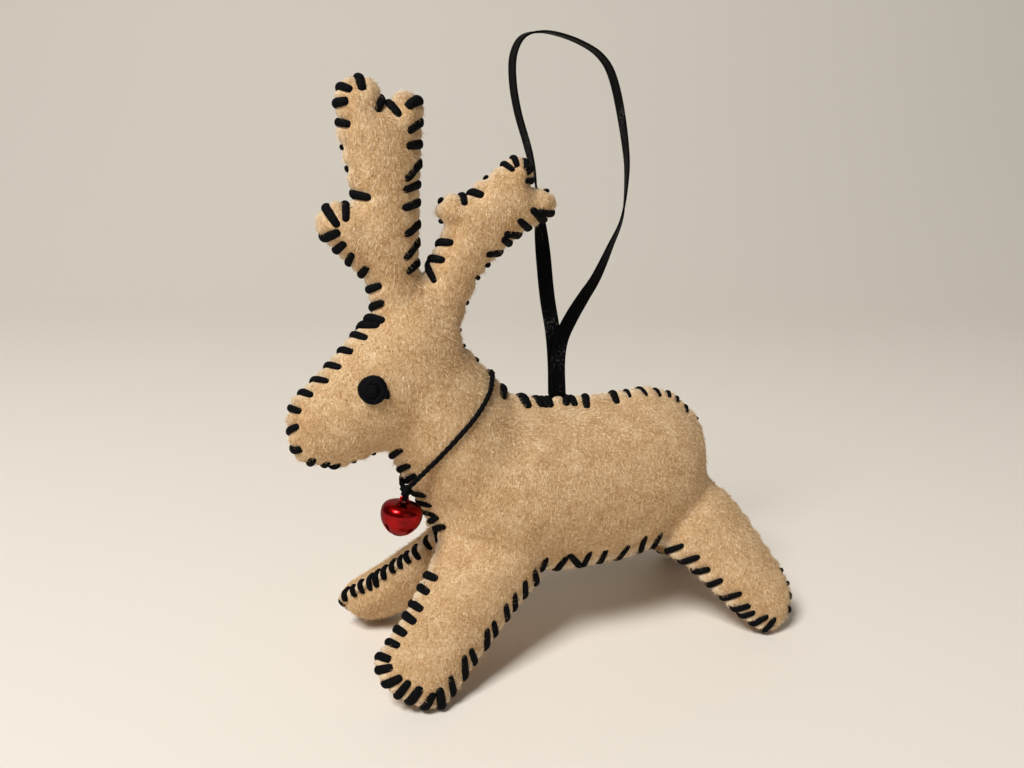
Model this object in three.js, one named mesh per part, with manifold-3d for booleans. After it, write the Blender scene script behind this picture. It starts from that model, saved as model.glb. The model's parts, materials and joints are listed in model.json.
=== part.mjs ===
// A stuffed felt reindeer ornament that stands on four splayed legs, with a bell and a hanging loop.
// Millimetres. The muzzle points along -X, +Z is up and the median plane is y = 0.
// Shapes are drawn in side view, as x and z, like the maker's paper pattern.
import * as THREE from "three";
import { mergeVertices } from "three/addons/utils/BufferGeometryUtils.js";
import Module from "manifold-3d";

const wasm = await Module();
wasm.setup();

// Felt, stuffing and thread
const FELT = 1.1; // one layer of felt
const SEAM = 2.0; // width of the flat edge inside the whip stitches
const GAP = 0.3; // clearance between neighbouring pieces
const THREAD_R = 0.45; // radius of the sewing thread
const THREAD_END = 2.2; // bare stretch left at each end of a thread
const SOLE_FLAT = 0.25; // depth of the flat that a foot's thread stands on

// Where the belly gusset starts on the chest and ends on the rump, and how far apart the feet stand
const CHEST_POINT = { x: 11.8, z: 25 };
const RUMP_POINT = { x: 70, z: 31.5 };
const FOOT_SPACING = 39.8;

// A limb's stations are [x, z, half width, half thickness]; its ends are rounded by the cap lengths.
// The width is measured along `across`, or square to the limb where that is left out.
const HEAD = {
  across: [0, 1],
  stations: [
    [-11, 48.6, 6.6, 4.6],
    [-5.5, 50.4, 10, 6.6],
    [2, 55.3, 13, 7.8],
    [9, 58.6, 13, 7.6],
    [15, 60.8, 8.8, 6],
  ],
  caps: [3, 2.8],
};
const NECK = {
  across: [1, 0],
  stations: [
    [17, 27, 6, 6.2],
    [19.5, 34, 11.9, 8.6],
    [18.6, 42, 15, 9.2],
    [15, 50, 12.3, 8.8],
    [10.5, 59, 9, 7.4],
  ],
  caps: [2.6, 4],
};
const FRONT_ANTLER = [
  {
    across: [1, 0],
    stations: [
      [6.2, 67, 4.4, 3.4],
      [5.2, 76, 4.9, 3.7],
      [4.8, 88, 5.8, 3.9],
      [4.1, 99, 7.2, 3.6],
    ],
    caps: [3, 3.4],
  },
  {
    stations: [
      [5.5, 75, 4.6, 3],
      [1, 80.5, 5.2, 3.6],
      [-3.6, 83.2, 3.7, 3],
    ],
    caps: [3, 3.5],
  },
  {
    stations: [
      [3, 95, 4, 3],
      [0.7, 102.8, 4, 3],
    ],
    caps: [3, 3.9],
  },
  {
    stations: [
      [6, 95, 3.4, 3],
      [8.6, 101.2, 3.1, 2.8],
    ],
    caps: [3, 3],
  },
];
const REAR_ANTLER = [
  {
    stations: [
      [13.2, 66.5, 4.8, 3.4],
      [16.4, 74, 4.8, 3.7],
      [20, 79.2, 5.4, 3.8],
      [25, 84.2, 6.2, 3.8],
      [29, 87, 5.8, 3.4],
    ],
    caps: [3, 2.6],
  },
  {
    stations: [
      [21, 83.6, 3.4, 3],
      [16.6, 84.4, 2.9, 2.7],
    ],
    caps: [3, 3.1],
  },
  {
    stations: [
      [25, 85.5, 3.8, 3],
      [28.4, 90, 3.4, 2.8],
    ],
    caps: [3, 3.4],
  },
  {
    stations: [
      [28, 83, 3.4, 3],
      [33.2, 84.8, 2.9, 2.6],
    ],
    caps: [3, 2.9],
  },
];
const FRONT_LEG = {
  across: [0.89, -0.456],
  stations: [
    [21.4, 18.5, 9.9, 6.4],
    [17.2, 14.5, 8.3, 5.8],
    [9.5, 8.4, 7.3, 5],
    [2.6, 3.4, 7, 4.2],
  ],
  caps: [3, 3.6],
};
const HIND_LEG = {
  across: [0.83, 0.557],
  stations: [
    [64.9, 20.6, 9.6, 6.6],
    [68, 17.2, 8.5, 6.2],
    [73.3, 9.4, 7.2, 5],
    [75.7, 6.1, 6.7, 4.4],
  ],
  caps: [3, 6.6],
};
// The torso's stations are [x, back seam z, belly z, half thickness].
const TORSO = {
  stations: [
    [16, 47, 24.5, 6],
    [20, 49.5, 19.5, 9.6],
    [27, 50.1, 15.5, 12],
    [36, 48.3, 14.4, 12.8],
    [47, 48, 14.4, 12.8],
    [56, 48.5, 15.4, 12],
    [62.5, 46.6, 19, 10],
    [67, 42.2, 24, 6.8],
  ],
  caps: [2.6, 3],
};

// French-knot eyes
const EYE = { x: -0.6, z: 56.1 };
const EYE_R = 2.4;
const EYE_RISE = 1.7;

// Hanging ribbon: its route in side view from one end to the other, and how far it leans to the far side
const RIBBON_WIDTH = 3;
const RIBBON_THICK = 0.4;
const RIBBON_X = 36.8; // where it leaves the back seam
const RIBBON_TAIL = 4; // length of the ends sewn into the seam
const RIBBON_LEAN = 0.14; // sideways lean for each millimetre of height
const RIBBON_STUB = 0.6; // how far the sewn ends stand out of the seam
const RIBBON_PLY = 0.9; // spacing of the two ends where they lie together
const RIBBON_ROUTE = [
  [0, 0],
  [0.2, 6],
  [0, 11.7],
  [-0.8, 18.4],
  [-1.2, 25.8],
  [-1.6, 33],
  [-2.1, 39.3],
  [-3.2, 45],
  [-4.9, 51.5],
  [-5.6, 57],
  [-5.2, 61.5],
  [-3.2, 64.6],
  [0.4, 65.5],
  [4.4, 65],
  [8.4, 63.7],
  [11.8, 61.8],
  [14.1, 58.8],
  [15.6, 53.4],
  [16.7, 45.1],
  [16.7, 39.6],
  [15.4, 32.2],
  [12.5, 26.7],
  [9.3, 21.3],
  [6.4, 17.7],
  [3.7, 14.2],
  [1.4, 10.4],
  [0.4, 6],
  [0.2, 0],
];
const TWIST_START = [0.16, 0.31]; // stretch in which the ribbon turns from face-on to edge-on
const TWIST_END = [0.6, 0.97]; // stretch in which it turns back
const TACK_R = 1.2; // the stitches that hold the ribbon
const BACK_CLEAR = 65; // a height between the back and the rear antler's tip

// Neck cord, from the nape to the throat in side view
const CORD_R = 0.55;
const CORD_NAPE = { x: 23.3, z: 53.6 };
const CORD_THROAT = { x: 7.4, z: 37 };
const CORD_BOW = 2.2; // how far the cord's sides bow towards the head
const CORD_STEPS = 28;
const KNOT_SIDE = -3.6; // the knot lies a little to the near side
const KNOT_R = 1.1;
const KNOT_RISE = 0.5;
const STRAND_R = 0.25; // the single strand through the bell's shank

// Bell
const BELL_R = 3.8;
const BELL_RISE = 3.4; // half height
const BELL_WALL = 0.45;
const SLIT_WIDTH = 0.9;
const SLIT_HOLE_R = 0.75;
const SLIT_TOP = 0.6; // depth of the slits' ends under the middle
const SHANK_R = 0.42; // inner radius of the shank's loop
const SHANK_WIRE_R = 0.25;
const SHANK_DROP = 0.1; // straight part of the shank
const BALL_R = 1.2;
const BELL_LEAN = THREE.MathUtils.degToRad(12); // the bell hangs forward, off the chest

// Colours
const CREAM_FELT = { color: 0xe9d3b4, roughness: 0.95, metalness: 0 };
const WHITE_FIBRE = { color: 0xf2efe8, roughness: 1, metalness: 0 };
const BLACK_COTTON = { color: 0x14151a, roughness: 0.85, metalness: 0 };
const BLACK_SATIN = { color: 0x101014, roughness: 0.45, metalness: 0 };
const RED_LACQUER = { color: 0xb3121d, roughness: 0.22, metalness: 0.75 };
const STEEL = { color: 0x9a9a9c, roughness: 0.35, metalness: 1 };

// How finely the surfaces are divided
const CAP_STEPS = [0.6, 0.94];
const SECTION = [-1, -0.65, 0, 0.65, 1];
const THREAD_SIDES = 6;
const THREAD_STEP = 2;
const OUTLINE_STEP = 0.5;
const PANEL_EDGE = 0.2; // half the slot between two felts at a seam
const REACH = 160; // further than any point of the figure
const FLOOR = -8; // lower than any point of the figure

// What is grown or shrunk from the drawn shape, and the half thickness left at the rim
const OUTSIDE = { wide: 0, thick: 0, rim: FELT };
const CAVITY = { wide: -SEAM, thick: -FELT, rim: 0.25 };
const FILLING = { wide: -SEAM - GAP, thick: -FELT - GAP, rim: 0.15 };
const THREAD_OFF = GAP + THREAD_R; // thread centre to felt edge

const group = new THREE.Group();
const figure = new THREE.Group();
group.add(figure);

function addMesh(name, geometry, look, parent = figure) {
  const mesh = new THREE.Mesh(geometry, new THREE.MeshStandardMaterial(look));
  mesh.name = name;
  parent.add(mesh);
  return mesh;
}

// A closed surface as a solid, turned outwards if its faces point in.
function solidOf(geometry) {
  const bare = geometry.clone();
  bare.deleteAttribute("normal");
  bare.deleteAttribute("uv");
  const merged = mergeVertices(bare, 1e-4);
  const place = merged.getAttribute("position");
  const triVerts = new Uint32Array(merged.index.array);
  const [a, b, c] = [0, 1, 2].map(() => new THREE.Vector3());
  let volume = 0;
  for (let i = 0; i < triVerts.length; i += 3) {
    a.fromBufferAttribute(place, triVerts[i]);
    b.fromBufferAttribute(place, triVerts[i + 1]);
    c.fromBufferAttribute(place, triVerts[i + 2]);
    volume += a.dot(b.cross(c));
  }
  if (volume < 0) triVerts.reverse();
  const vertProperties = new Float32Array(place.array);
  return new wasm.Manifold(new wasm.Mesh({ numProp: 3, vertProperties, triVerts }));
}

function geometryOf(solid) {
  const { vertProperties, triVerts } = solid.getMesh();
  const geometry = new THREE.BufferGeometry();
  geometry.setAttribute("position", new THREE.BufferAttribute(vertProperties, 3));
  geometry.setIndex(new THREE.BufferAttribute(triVerts, 1));
  geometry.computeVertexNormals();
  return geometry;
}

const joined = (solids) => solids.reduce((whole, part) => whole.add(part));

// A closed skin over rings of equally many points. Each quad is split from its higher corner, so that
// two skins that run along the same slanted surface have the same facets.
function loft(rings) {
  const count = rings[0].length;
  const points = rings.flat();
  const index = [];
  for (let r = 0; r + 1 < rings.length; r++) {
    for (let i = 0; i < count; i++) {
      const [a, b] = [r * count + i, r * count + ((i + 1) % count)];
      if (points[a].z > points[b].z) index.push(a, b, b + count, a, b + count, a + count);
      else index.push(a, b, a + count, b, b + count, a + count);
    }
  }
  const last = (rings.length - 1) * count;
  for (let i = 1; i + 1 < count; i++) {
    index.push(0, i + 1, i, last, last + i, last + i + 1);
  }
  const geometry = new THREE.BufferGeometry().setFromPoints(points);
  return geometry.setIndex(index);
}

function boxAt(width, depth, height, x, y, z) {
  return new THREE.BoxGeometry(width, depth, height).translate(x, y, z);
}

function circle(radius, sides) {
  const shape = new THREE.Shape();
  for (let i = 0; i < sides; i++) {
    const turn = (2 * Math.PI * (i + 0.5)) / sides;
    const [x, y] = [radius * Math.cos(turn), radius * Math.sin(turn)];
    if (i) shape.lineTo(x, y);
    else shape.moveTo(x, y);
  }
  return shape;
}

function tube(points, radius, sides, step) {
  const extrudePath = new THREE.CatmullRomCurve3(points);
  const steps = Math.max(4, Math.round(extrudePath.getLength() / step));
  return new THREE.ExtrudeGeometry(circle(radius, sides), {
    steps,
    extrudePath,
    bevelEnabled: false,
  });
}

// The seam of a leg lies on a surface that runs from the gusset's ridge down to the line of the feet.
const ridgeSlope = (RUMP_POINT.z - CHEST_POINT.z) / (RUMP_POINT.x - CHEST_POINT.x);
const ridge = (x) => CHEST_POINT.z + ridgeSlope * (x - CHEST_POINT.x);
const spread = (x, z) => (FOOT_SPACING / 2) * (1 - z / ridge(x));

// Where a point of the side view lies in space, `out` from its seam surface.
const upright = (x, z, out) => new THREE.Vector3(x, out, z);
const splayed = (side) => (x, z, out) => {
  const down = new THREE.Vector3(0, (-side * FOOT_SPACING) / 2 / ridge(x), 1);
  const bend = ((FOOT_SPACING / 2) * z * ridgeSlope) / ridge(x) ** 2;
  const along = new THREE.Vector3(1, side * bend, 0);
  const normal = along.cross(down).normalize();
  return new THREE.Vector3(x, side * spread(x, z), z).addScaledVector(normal, out);
};

// The rows of a limb from end to end: middle, width direction, half width and half thickness.
function rowsOf(limb, grow) {
  const rows = limb.stations.map(([x, z, wide, thick], i, all) => {
    const [before, after] = [all[Math.max(i - 1, 0)], all[Math.min(i + 1, all.length - 1)]];
    const run = new THREE.Vector2(after[0] - before[0], after[1] - before[1]).normalize();
    const across = new THREE.Vector2(...(limb.across ?? [-run.y, run.x])).normalize();
    const at = new THREE.Vector2(x, z);
    return { at, across, run, wide: wide + grow.wide, thick: thick + grow.thick };
  });
  const capRow = (row, sign, length, share) => {
    const out = new THREE.Vector2(-row.across.y, row.across.x);
    if (out.dot(row.run) * sign < 0) out.negate();
    const at = row.at.clone().addScaledVector(out, length * share);
    const k = Math.sqrt(1 - share * share);
    return { ...row, at, wide: row.wide * k, thick: row.thick * k };
  };
  const [first, last] = [rows[0], rows.at(-1)];
  const [before, after] = limb.caps.map((cap) => cap + grow.wide);
  const head = CAP_STEPS.map((share) => capRow(first, -1, before, share)).reverse();
  return [...head, ...rows, ...CAP_STEPS.map((share) => capRow(last, 1, after, share))];
}

// A stuffed section: flat at the rim, where two felts meet, and crowned between.
const crown = (u) => (1 - Math.abs(u) ** 2.5) ** 0.8;

function limbSolid(limb, grow, place) {
  const rings = rowsOf(limb, grow).map(({ at, across, wide, thick }) => {
    const rise = Math.max(thick - grow.rim, 0);
    const pointAt = (u, sign) => {
      const out = sign * (grow.rim + rise * crown(u));
      return place(at.x + across.x * wide * u, at.y + across.y * wide * u, out);
    };
    const near = SECTION.map((u) => pointAt(u, 1));
    const far = SECTION.map((u) => pointAt(u, -1)).reverse();
    return [...near, ...far];
  });
  return solidOf(loft(rings));
}

// A limb's outline in side view, anticlockwise.
function outlineOf(limb, wide) {
  const rows = rowsOf(limb, { wide, thick: 0 });
  const edge = (side) => rows.map(({ at, across, wide: half }) => {
    return new THREE.Vector2(at.x + side * across.x * half, at.y + side * across.y * half);
  });
  const points = [...edge(1), ...edge(-1).reverse()];
  return THREE.ShapeUtils.isClockWise(points) ? points.reverse() : points;
}

// The torso: a seam ridge along the back, full sides and a flatter belly.
function torsoRows(grow) {
  const rows = TORSO.stations.map(([x, top, belly, thick]) => {
    return { x, top: top + grow.wide, belly: belly - grow.thick, thick: thick + grow.thick };
  });
  const capRow = (row, length, share) => {
    const k = Math.sqrt(1 - share * share);
    const [middle, half] = [(row.top + row.belly) / 2, (row.top - row.belly) / 2];
    const x = row.x + length * share;
    return { x, top: middle + half * k, belly: middle - half * k, thick: row.thick * k };
  };
  const [before, after] = TORSO.caps.map((cap) => cap + grow.wide);
  const head = CAP_STEPS.map((share) => capRow(rows[0], -before, share)).reverse();
  const tail = CAP_STEPS.map((share) => capRow(rows.at(-1), after, share));
  return [...head, ...rows, ...tail];
}

// The edge of the torso that the gusset is sewn to, with everything above it, in side view
function bellySeamOutline(wide) {
  const rows = torsoRows({ wide: 0, thick: 0 });
  const seam = rows.map(({ x, top, belly }) => {
    return new THREE.Vector2(x, top - BELLY_SEAM[1] * (top - belly) - wide);
  });
  const high = rows.map(({ x }) => x);
  return [...seam, new THREE.Vector2(high.at(-1), REACH), new THREE.Vector2(high[0], REACH)];
}

// The corner of a leg's root, in front of it or behind it
function legCorner({ stations: [[x, z, wide]], across: [ax, az] }, end) {
  return new THREE.Vector2(x + end * ax * wide, z + end * az * wide);
}

const TORSO_SECTION = [
  [0.42, 0.1],
  [0.83, 0.28],
  [1, 0.52],
  [0.94, 0.76],
  [0.62, 0.94],
]; // shares of the half thickness and of the height, from the back down
const BELLY_SEAM = TORSO_SECTION[TORSO_SECTION.length - 1];

function torsoSolid(grow) {
  const rings = torsoRows(grow).map(({ x, top, belly, thick }) => {
    const high = top - belly;
    const half = [[grow.rim, top], ...TORSO_SECTION.map(([w, d]) => [w * thick, top - d * high])];
    const far = half.map(([y, z]) => new THREE.Vector3(x, y, z));
    const near = half.map(([y, z]) => new THREE.Vector3(x, -y, z)).reverse();
    return [...far, new THREE.Vector3(x, 0, belly), ...near];
  });
  return solidOf(loft(rings));
}

function torsoOutline(wide) {
  const rows = torsoRows({ wide, thick: wide });
  const back = rows.map(({ x, top }) => new THREE.Vector2(x, top));
  const belly = rows.map(({ x, belly: low }) => new THREE.Vector2(x, low));
  const points = [...belly, ...back.reverse()];
  return THREE.ShapeUtils.isClockWise(points) ? points.reverse() : points;
}

// Each leg is set down so that its thread just stands on the ground.
function stoodOnGround(leg) {
  const lowest = Math.min(...outlineOf(leg, THREAD_OFF).map((p) => p.y));
  const lift = THREAD_R - SOLE_FLAT - lowest;
  return { ...leg, stations: leg.stations.map(([x, z, ...half]) => [x, z + lift, ...half]) };
}
const frontLeg = stoodOnGround(FRONT_LEG);
const hindLeg = stoodOnGround(HIND_LEG);

// Every stuffed part, the largest first, as a function of how far it is grown.
const limb = (shape, place) => (grow) => limbSolid(shape, grow, place);
const limbs = (shapes) => (grow) => joined(shapes.map((shape) => limbSolid(shape, grow, upright)));
const SIDES = { left: -1, right: 1 };
const stuffed = {
  torso: torsoSolid,
  neck: limb(NECK, upright),
  head: limb(HEAD, upright),
  left_front_leg: limb(frontLeg, splayed(SIDES.left)),
  right_front_leg: limb(frontLeg, splayed(SIDES.right)),
  left_hind_leg: limb(hindLeg, splayed(SIDES.left)),
  right_hind_leg: limb(hindLeg, splayed(SIDES.right)),
  front_antler: limbs(FRONT_ANTLER),
  rear_antler: limbs(REAR_ANTLER),
};
const parts = Object.entries(stuffed);
const outside = joined(parts.map(([, make]) => make(OUTSIDE)));
const cavities = parts.map(([, make]) => make(CAVITY));

// The back seam's height at the ribbon, and the pocket between the felts that holds the ribbon's ends
const seen = new THREE.Mesh(geometryOf(outside), new THREE.MeshBasicMaterial({ side: THREE.DoubleSide }));
function hit(from, towards) {
  return new THREE.Raycaster(from, towards.clone().normalize()).intersectObject(seen)[0];
}
const DOWN = new THREE.Vector3(0, 0, -1);
const backAt = (x) => hit(new THREE.Vector3(x, 0, BACK_CLEAR), DOWN).point.z;
const seamTop = backAt(RIBBON_X);
const tailThick = RIBBON_PLY + RIBBON_THICK;
const pocketBox = boxAt(
  RIBBON_WIDTH + 2 * GAP,
  tailThick + 2 * GAP,
  2 * (RIBBON_TAIL + GAP),
  RIBBON_X,
  0,
  seamTop,
);
const pocket = solidOf(pocketBox);

// Wads of stuffing, each cut back where a larger one fills the felt.
parts.forEach(([name, make], i) => {
  const wad = cavities.slice(0, i).reduce((left, larger) => left.subtract(larger), make(FILLING).subtract(pocket));
  addMesh(`${name}_stuffing`, geometryOf(wad), WHITE_FIBRE);
});

// Felt cuts: the sewn skin, parted along the median plane and along the gusset's two seams.
function skinRegion(polygonAt) {
  const rings = [];
  for (let x = -REACH / 4; x <= REACH; x += REACH / 20) {
    rings.push(polygonAt(x).map(([y, z]) => new THREE.Vector3(x, y, z)));
  }
  return solidOf(loft(rings));
}
const sideRegion = (side) =>
  skinRegion((x) => [
    [side * PANEL_EDGE, ridge(x)],
    [side * PANEL_EDGE, REACH],
    [side * REACH, REACH],
    [side * REACH, FLOOR],
    [side * (spread(x, FLOOR) + PANEL_EDGE), FLOOR],
  ]);
const gussetRegion = skinRegion((x) => [
  [0, ridge(x) - PANEL_EDGE],
  [spread(x, FLOOR) - PANEL_EDGE, FLOOR],
  [PANEL_EDGE - spread(x, FLOOR), FLOOR],
]);

const skin = cavities.reduce((felt, cavity) => felt.subtract(cavity), outside).subtract(pocket);
addMesh("left_side_panel", geometryOf(skin.intersect(sideRegion(SIDES.left))), CREAM_FELT);
addMesh("right_side_panel", geometryOf(skin.intersect(sideRegion(SIDES.right))), CREAM_FELT);
addMesh("belly_gusset", geometryOf(skin.intersect(gussetRegion)), CREAM_FELT);

function polyline(points) {
  const line = new THREE.CurvePath();
  points.slice(1).forEach((p, i) => line.add(new THREE.LineCurve(points[i], p)));
  return line;
}

// The outer edge of overlapping outlines, walked anticlockwise from the leftmost point.
function joinedOutline(outlines) {
  const edges = outlines.map((points) => points.map((p, i) => [p, points[(i + 1) % points.length]]));
  let shape = 0;
  let side = 0;
  edges.forEach((list, s) => list.forEach(([p], i) => {
    if (p.x < edges[shape][side][0].x) [shape, side] = [s, i];
  }));
  const start = edges[shape][side][0];
  const path = [start];
  let from = start;
  const most = 4 * edges.flat().length;
  while (path.length < most) {
    const to = edges[shape][side][1];
    let next = null;
    edges.forEach((list, s) => list.forEach(([p, q], i) => {
      if (s === shape) return;
      const [run, edge, gap] = [to.clone().sub(from), q.clone().sub(p), p.clone().sub(from)];
      const turn = run.cross(edge);
      const [k, m] = [gap.cross(edge) / turn, gap.cross(run) / turn];
      if (turn < 0 && k > 1e-6 && k <= 1 && m >= 0 && m <= 1 && !(next && next.k < k)) next = { k, s, i };
    }));
    from = next ? from.clone().lerp(to, next.k) : to;
    [shape, side] = next ? [next.s, next.i] : [shape, (side + 1) % edges[shape].length];
    path.push(from);
    if (from.distanceTo(start) < 1e-6) break;
  }
  const line = polyline(path);
  return line.getSpacedPoints(Math.round(line.getLength() / OUTLINE_STEP));
}

// The stretch of a closed path from the point nearest `first` to the point nearest `last`, at even steps.
function stretch(path, first, last, step) {
  const nearest = (p) => path.reduce((best, q, i) => (q.distanceTo(p) < path[best].distanceTo(p) ? i : best), 0);
  const [a, b] = [nearest(first), nearest(last)];
  const points = a <= b ? path.slice(a, b + 1) : [...path.slice(a), ...path.slice(0, b + 1)];
  const line = polyline(points);
  const length = line.getLength();
  const count = Math.max(3, Math.round(length / step));
  const at = (i) => (THREAD_END + (i / count) * (length - 2 * THREAD_END)) / length;
  return Array.from({ length: count + 1 }, (_, i) => line.getPointAt(at(i)));
}

function threadSolid(points, place) {
  const path = points.map((p) => place(p.x, p.y, 0));
  return solidOf(tube(path, THREAD_R, THREAD_SIDES, THREAD_STEP));
}

// Seams in the median plane, clockwise seen from the near side: chest, face, antlers, nape, back, rump
const point2 = ({ x, z }) => new THREE.Vector2(x, z);
const upperOutline = joinedOutline(
  [HEAD, NECK, ...FRONT_ANTLER, ...REAR_ANTLER]
    .map((shape) => outlineOf(shape, THREAD_OFF))
    .concat([torsoOutline(THREAD_OFF)]),
).reverse();
const chest = point2(CHEST_POINT);
const rump = point2(RUMP_POINT);
const edgeOf = ([x, z, wide], side) => new THREE.Vector2(x + side * wide, z);
const [frontRoot, frontShaft] = FRONT_ANTLER[0].stations;
const [rearRoot, rearShaft] = REAR_ANTLER[0].stations;
const brow = edgeOf(frontRoot, -1);
const antlerFork = edgeOf(frontShaft, 1).lerp(edgeOf(rearShaft, -1), 0.5);
const nape = edgeOf(rearRoot, 1);
const besideRibbon = RIBBON_WIDTH / 2 + 2 * TACK_R + 3 * GAP - THREAD_END;
const seams = {
  face_thread: [chest, brow],
  front_antler_thread: [brow, antlerFork],
  rear_antler_thread: [antlerFork, nape],
  back_thread: [nape, new THREE.Vector2(RIBBON_X - besideRibbon, seamTop)],
  rump_thread: [new THREE.Vector2(RIBBON_X + besideRibbon, seamTop), rump],
};
Object.entries(seams).forEach(([name, [first, last]]) => {
  const points = stretch(upperOutline, first, last, THREAD_STEP);
  addMesh(name, geometryOf(threadSolid(points, upright)), BLACK_COTTON);
});

// Seams of the legs and belly, down one side from the chest to the rump
const frontLegBack = legCorner(frontLeg, 1);
const hindLegFront = legCorner(hindLeg, -1);
const lowerOutline = joinedOutline([
  outlineOf(frontLeg, THREAD_OFF),
  outlineOf(hindLeg, THREAD_OFF),
  bellySeamOutline(THREAD_OFF),
]);
const lowerSeams = {
  front_leg_thread: [chest, frontLegBack],
  belly_thread: [frontLegBack, hindLegFront],
  hind_leg_thread: [hindLegFront, new THREE.Vector2(rump.x, rump.y - THREAD_END)],
};
const underGround = solidOf(boxAt(2 * REACH, 2 * REACH, REACH, 0, 0, -REACH / 2));
Object.entries(SIDES).forEach(([sideName, side]) => {
  Object.entries(lowerSeams).forEach(([name, [first, last]]) => {
    const points = stretch(lowerOutline, first, last, THREAD_STEP);
    const thread = threadSolid(points, splayed(side)).subtract(underGround);
    addMesh(`${sideName}_${name}`, geometryOf(thread), BLACK_COTTON);
  });
});

// Eyes: a thick French knot on each side of the head
const domeProfile = [new THREE.Vector2(0, 0)];
const DOME_STEPS = 4;
for (let i = 0; i <= DOME_STEPS; i++) {
  const turn = (i / DOME_STEPS) * (Math.PI / 2);
  domeProfile.push(new THREE.Vector2(EYE_R * Math.cos(turn), EYE_RISE * Math.sin(turn)));
}
domeProfile[domeProfile.length - 1].x = 0;
Object.entries(SIDES).forEach(([sideName, side]) => {
  const spot = hit(new THREE.Vector3(EYE.x, side * REACH, EYE.z), new THREE.Vector3(0, -side, 0));
  const eye = addMesh(`${sideName}_eye_knot`, new THREE.LatheGeometry(domeProfile, 12), BLACK_COTTON);
  eye.quaternion.setFromUnitVectors(new THREE.Vector3(0, 1, 0), spot.face.normal);
  eye.position.copy(spot.point).addScaledVector(spot.face.normal, GAP);
});

// Hanging ribbon: two ends in the seam, the stitches beside them, and the free loop
addMesh("ribbon_tail", new THREE.BoxGeometry(RIBBON_WIDTH, tailThick, RIBBON_TAIL + RIBBON_STUB), BLACK_SATIN)
  .position.set(RIBBON_X, 0, seamTop + (RIBBON_STUB - RIBBON_TAIL) / 2);
[["front", -1], ["rear", 1]].forEach(([end, side]) => {
  const tack = addMesh(`ribbon_tack_${end}`, new THREE.SphereGeometry(TACK_R, 8, 6), BLACK_COTTON);
  const x = RIBBON_X + side * (RIBBON_WIDTH / 2 + GAP + TACK_R);
  tack.position.set(x, 0, backAt(x) + GAP + TACK_R);
});

const RIBBON_STEPS = 48;
function ribbonGeometry() {
  const foot = seamTop + RIBBON_STUB + GAP;
  const count = RIBBON_ROUTE.length - 1;
  const route = new THREE.CatmullRomCurve3(RIBBON_ROUTE.map(([x, rise], i) => {
    const ply = RIBBON_PLY * (0.5 - i / count);
    return new THREE.Vector3(RIBBON_X + x, ply + RIBBON_LEAN * rise, foot + rise);
  }));
  const rings = [];
  for (let i = 0; i <= RIBBON_STEPS; i++) {
    const share = i / RIBBON_STEPS;
    const [at, run] = [route.getPointAt(share), route.getTangentAt(share)];
    const turnIn = THREE.MathUtils.smoothstep(share, ...TWIST_START);
    const turnBack = THREE.MathUtils.smoothstep(share, ...TWIST_END);
    const turn = (turnIn - turnBack) * (Math.PI / 2);
    const wide = new THREE.Vector3(Math.cos(turn), Math.sin(turn), 0);
    wide.addScaledVector(run, -wide.dot(run)).normalize().multiplyScalar(RIBBON_WIDTH / 2);
    const thick = run.clone().cross(wide).setLength(RIBBON_THICK / 2);
    rings.push([[1, 1], [-1, 1], [-1, -1], [1, -1]].map(([w, t]) => {
      return at.clone().addScaledVector(wide, w).addScaledVector(thick, t);
    }));
  }
  return loft(rings);
}
addMesh("hanging_ribbon", geometryOf(solidOf(ribbonGeometry())), BLACK_SATIN);

// Neck cord: an oval round the neck, over the stitches at the nape and the throat
const napeEnd = upright(CORD_NAPE.x, CORD_NAPE.z, 0);
const throatEnd = upright(CORD_THROAT.x, CORD_THROAT.z, 0);
const cordRun = throatEnd.clone().sub(napeEnd).normalize();
const neckMiddle = napeEnd.clone().add(throatEnd).multiplyScalar(0.5);
const overStitch = THREAD_OFF + THREAD_R + GAP + CORD_R;
const toThroat = hit(neckMiddle, cordRun).distance + overStitch;
const toNape = hit(neckMiddle, cordRun.clone().negate()).distance + overStitch;
const cordMiddle = neckMiddle.clone().addScaledVector(cordRun, (toThroat - toNape) / 2);
const cordLong = (toThroat + toNape) / 2;
const cordBow = new THREE.Vector3(cordRun.z, 0, -cordRun.x).multiplyScalar(CORD_BOW);
const cordFlat = (share) => cordMiddle.clone()
  .addScaledVector(cordRun, share * cordLong)
  .addScaledVector(cordBow, 1 - share * share);
const cordHalf = Math.max(...[-0.8, -0.6, -0.4, -0.2, 0, 0.2, 0.4, 0.6, 0.8].map((share) => {
  const from = cordFlat(share).setY(-REACH);
  const felt = REACH - hit(from, new THREE.Vector3(0, 1, 0)).distance;
  return (felt + GAP + CORD_R) / Math.sqrt(1 - share * share);
}));
const cordPoint = (turn) => cordFlat(Math.cos(turn)).setY(cordHalf * Math.sin(turn));
const knotTurn = Math.asin(KNOT_SIDE / cordHalf);
const knot = cordPoint(knotTurn);
const endTurn = (KNOT_R + 2 * GAP + CORD_R) / cordHalf;
const cordPoints = Array.from({ length: CORD_STEPS + 1 }, (_, i) => {
  return cordPoint(knotTurn + endTurn + (i / CORD_STEPS) * (2 * Math.PI - 2 * endTurn));
});
addMesh("neck_cord", tube(cordPoints, CORD_R, 8, 2.5 * CORD_R * 2), BLACK_COTTON);

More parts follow.
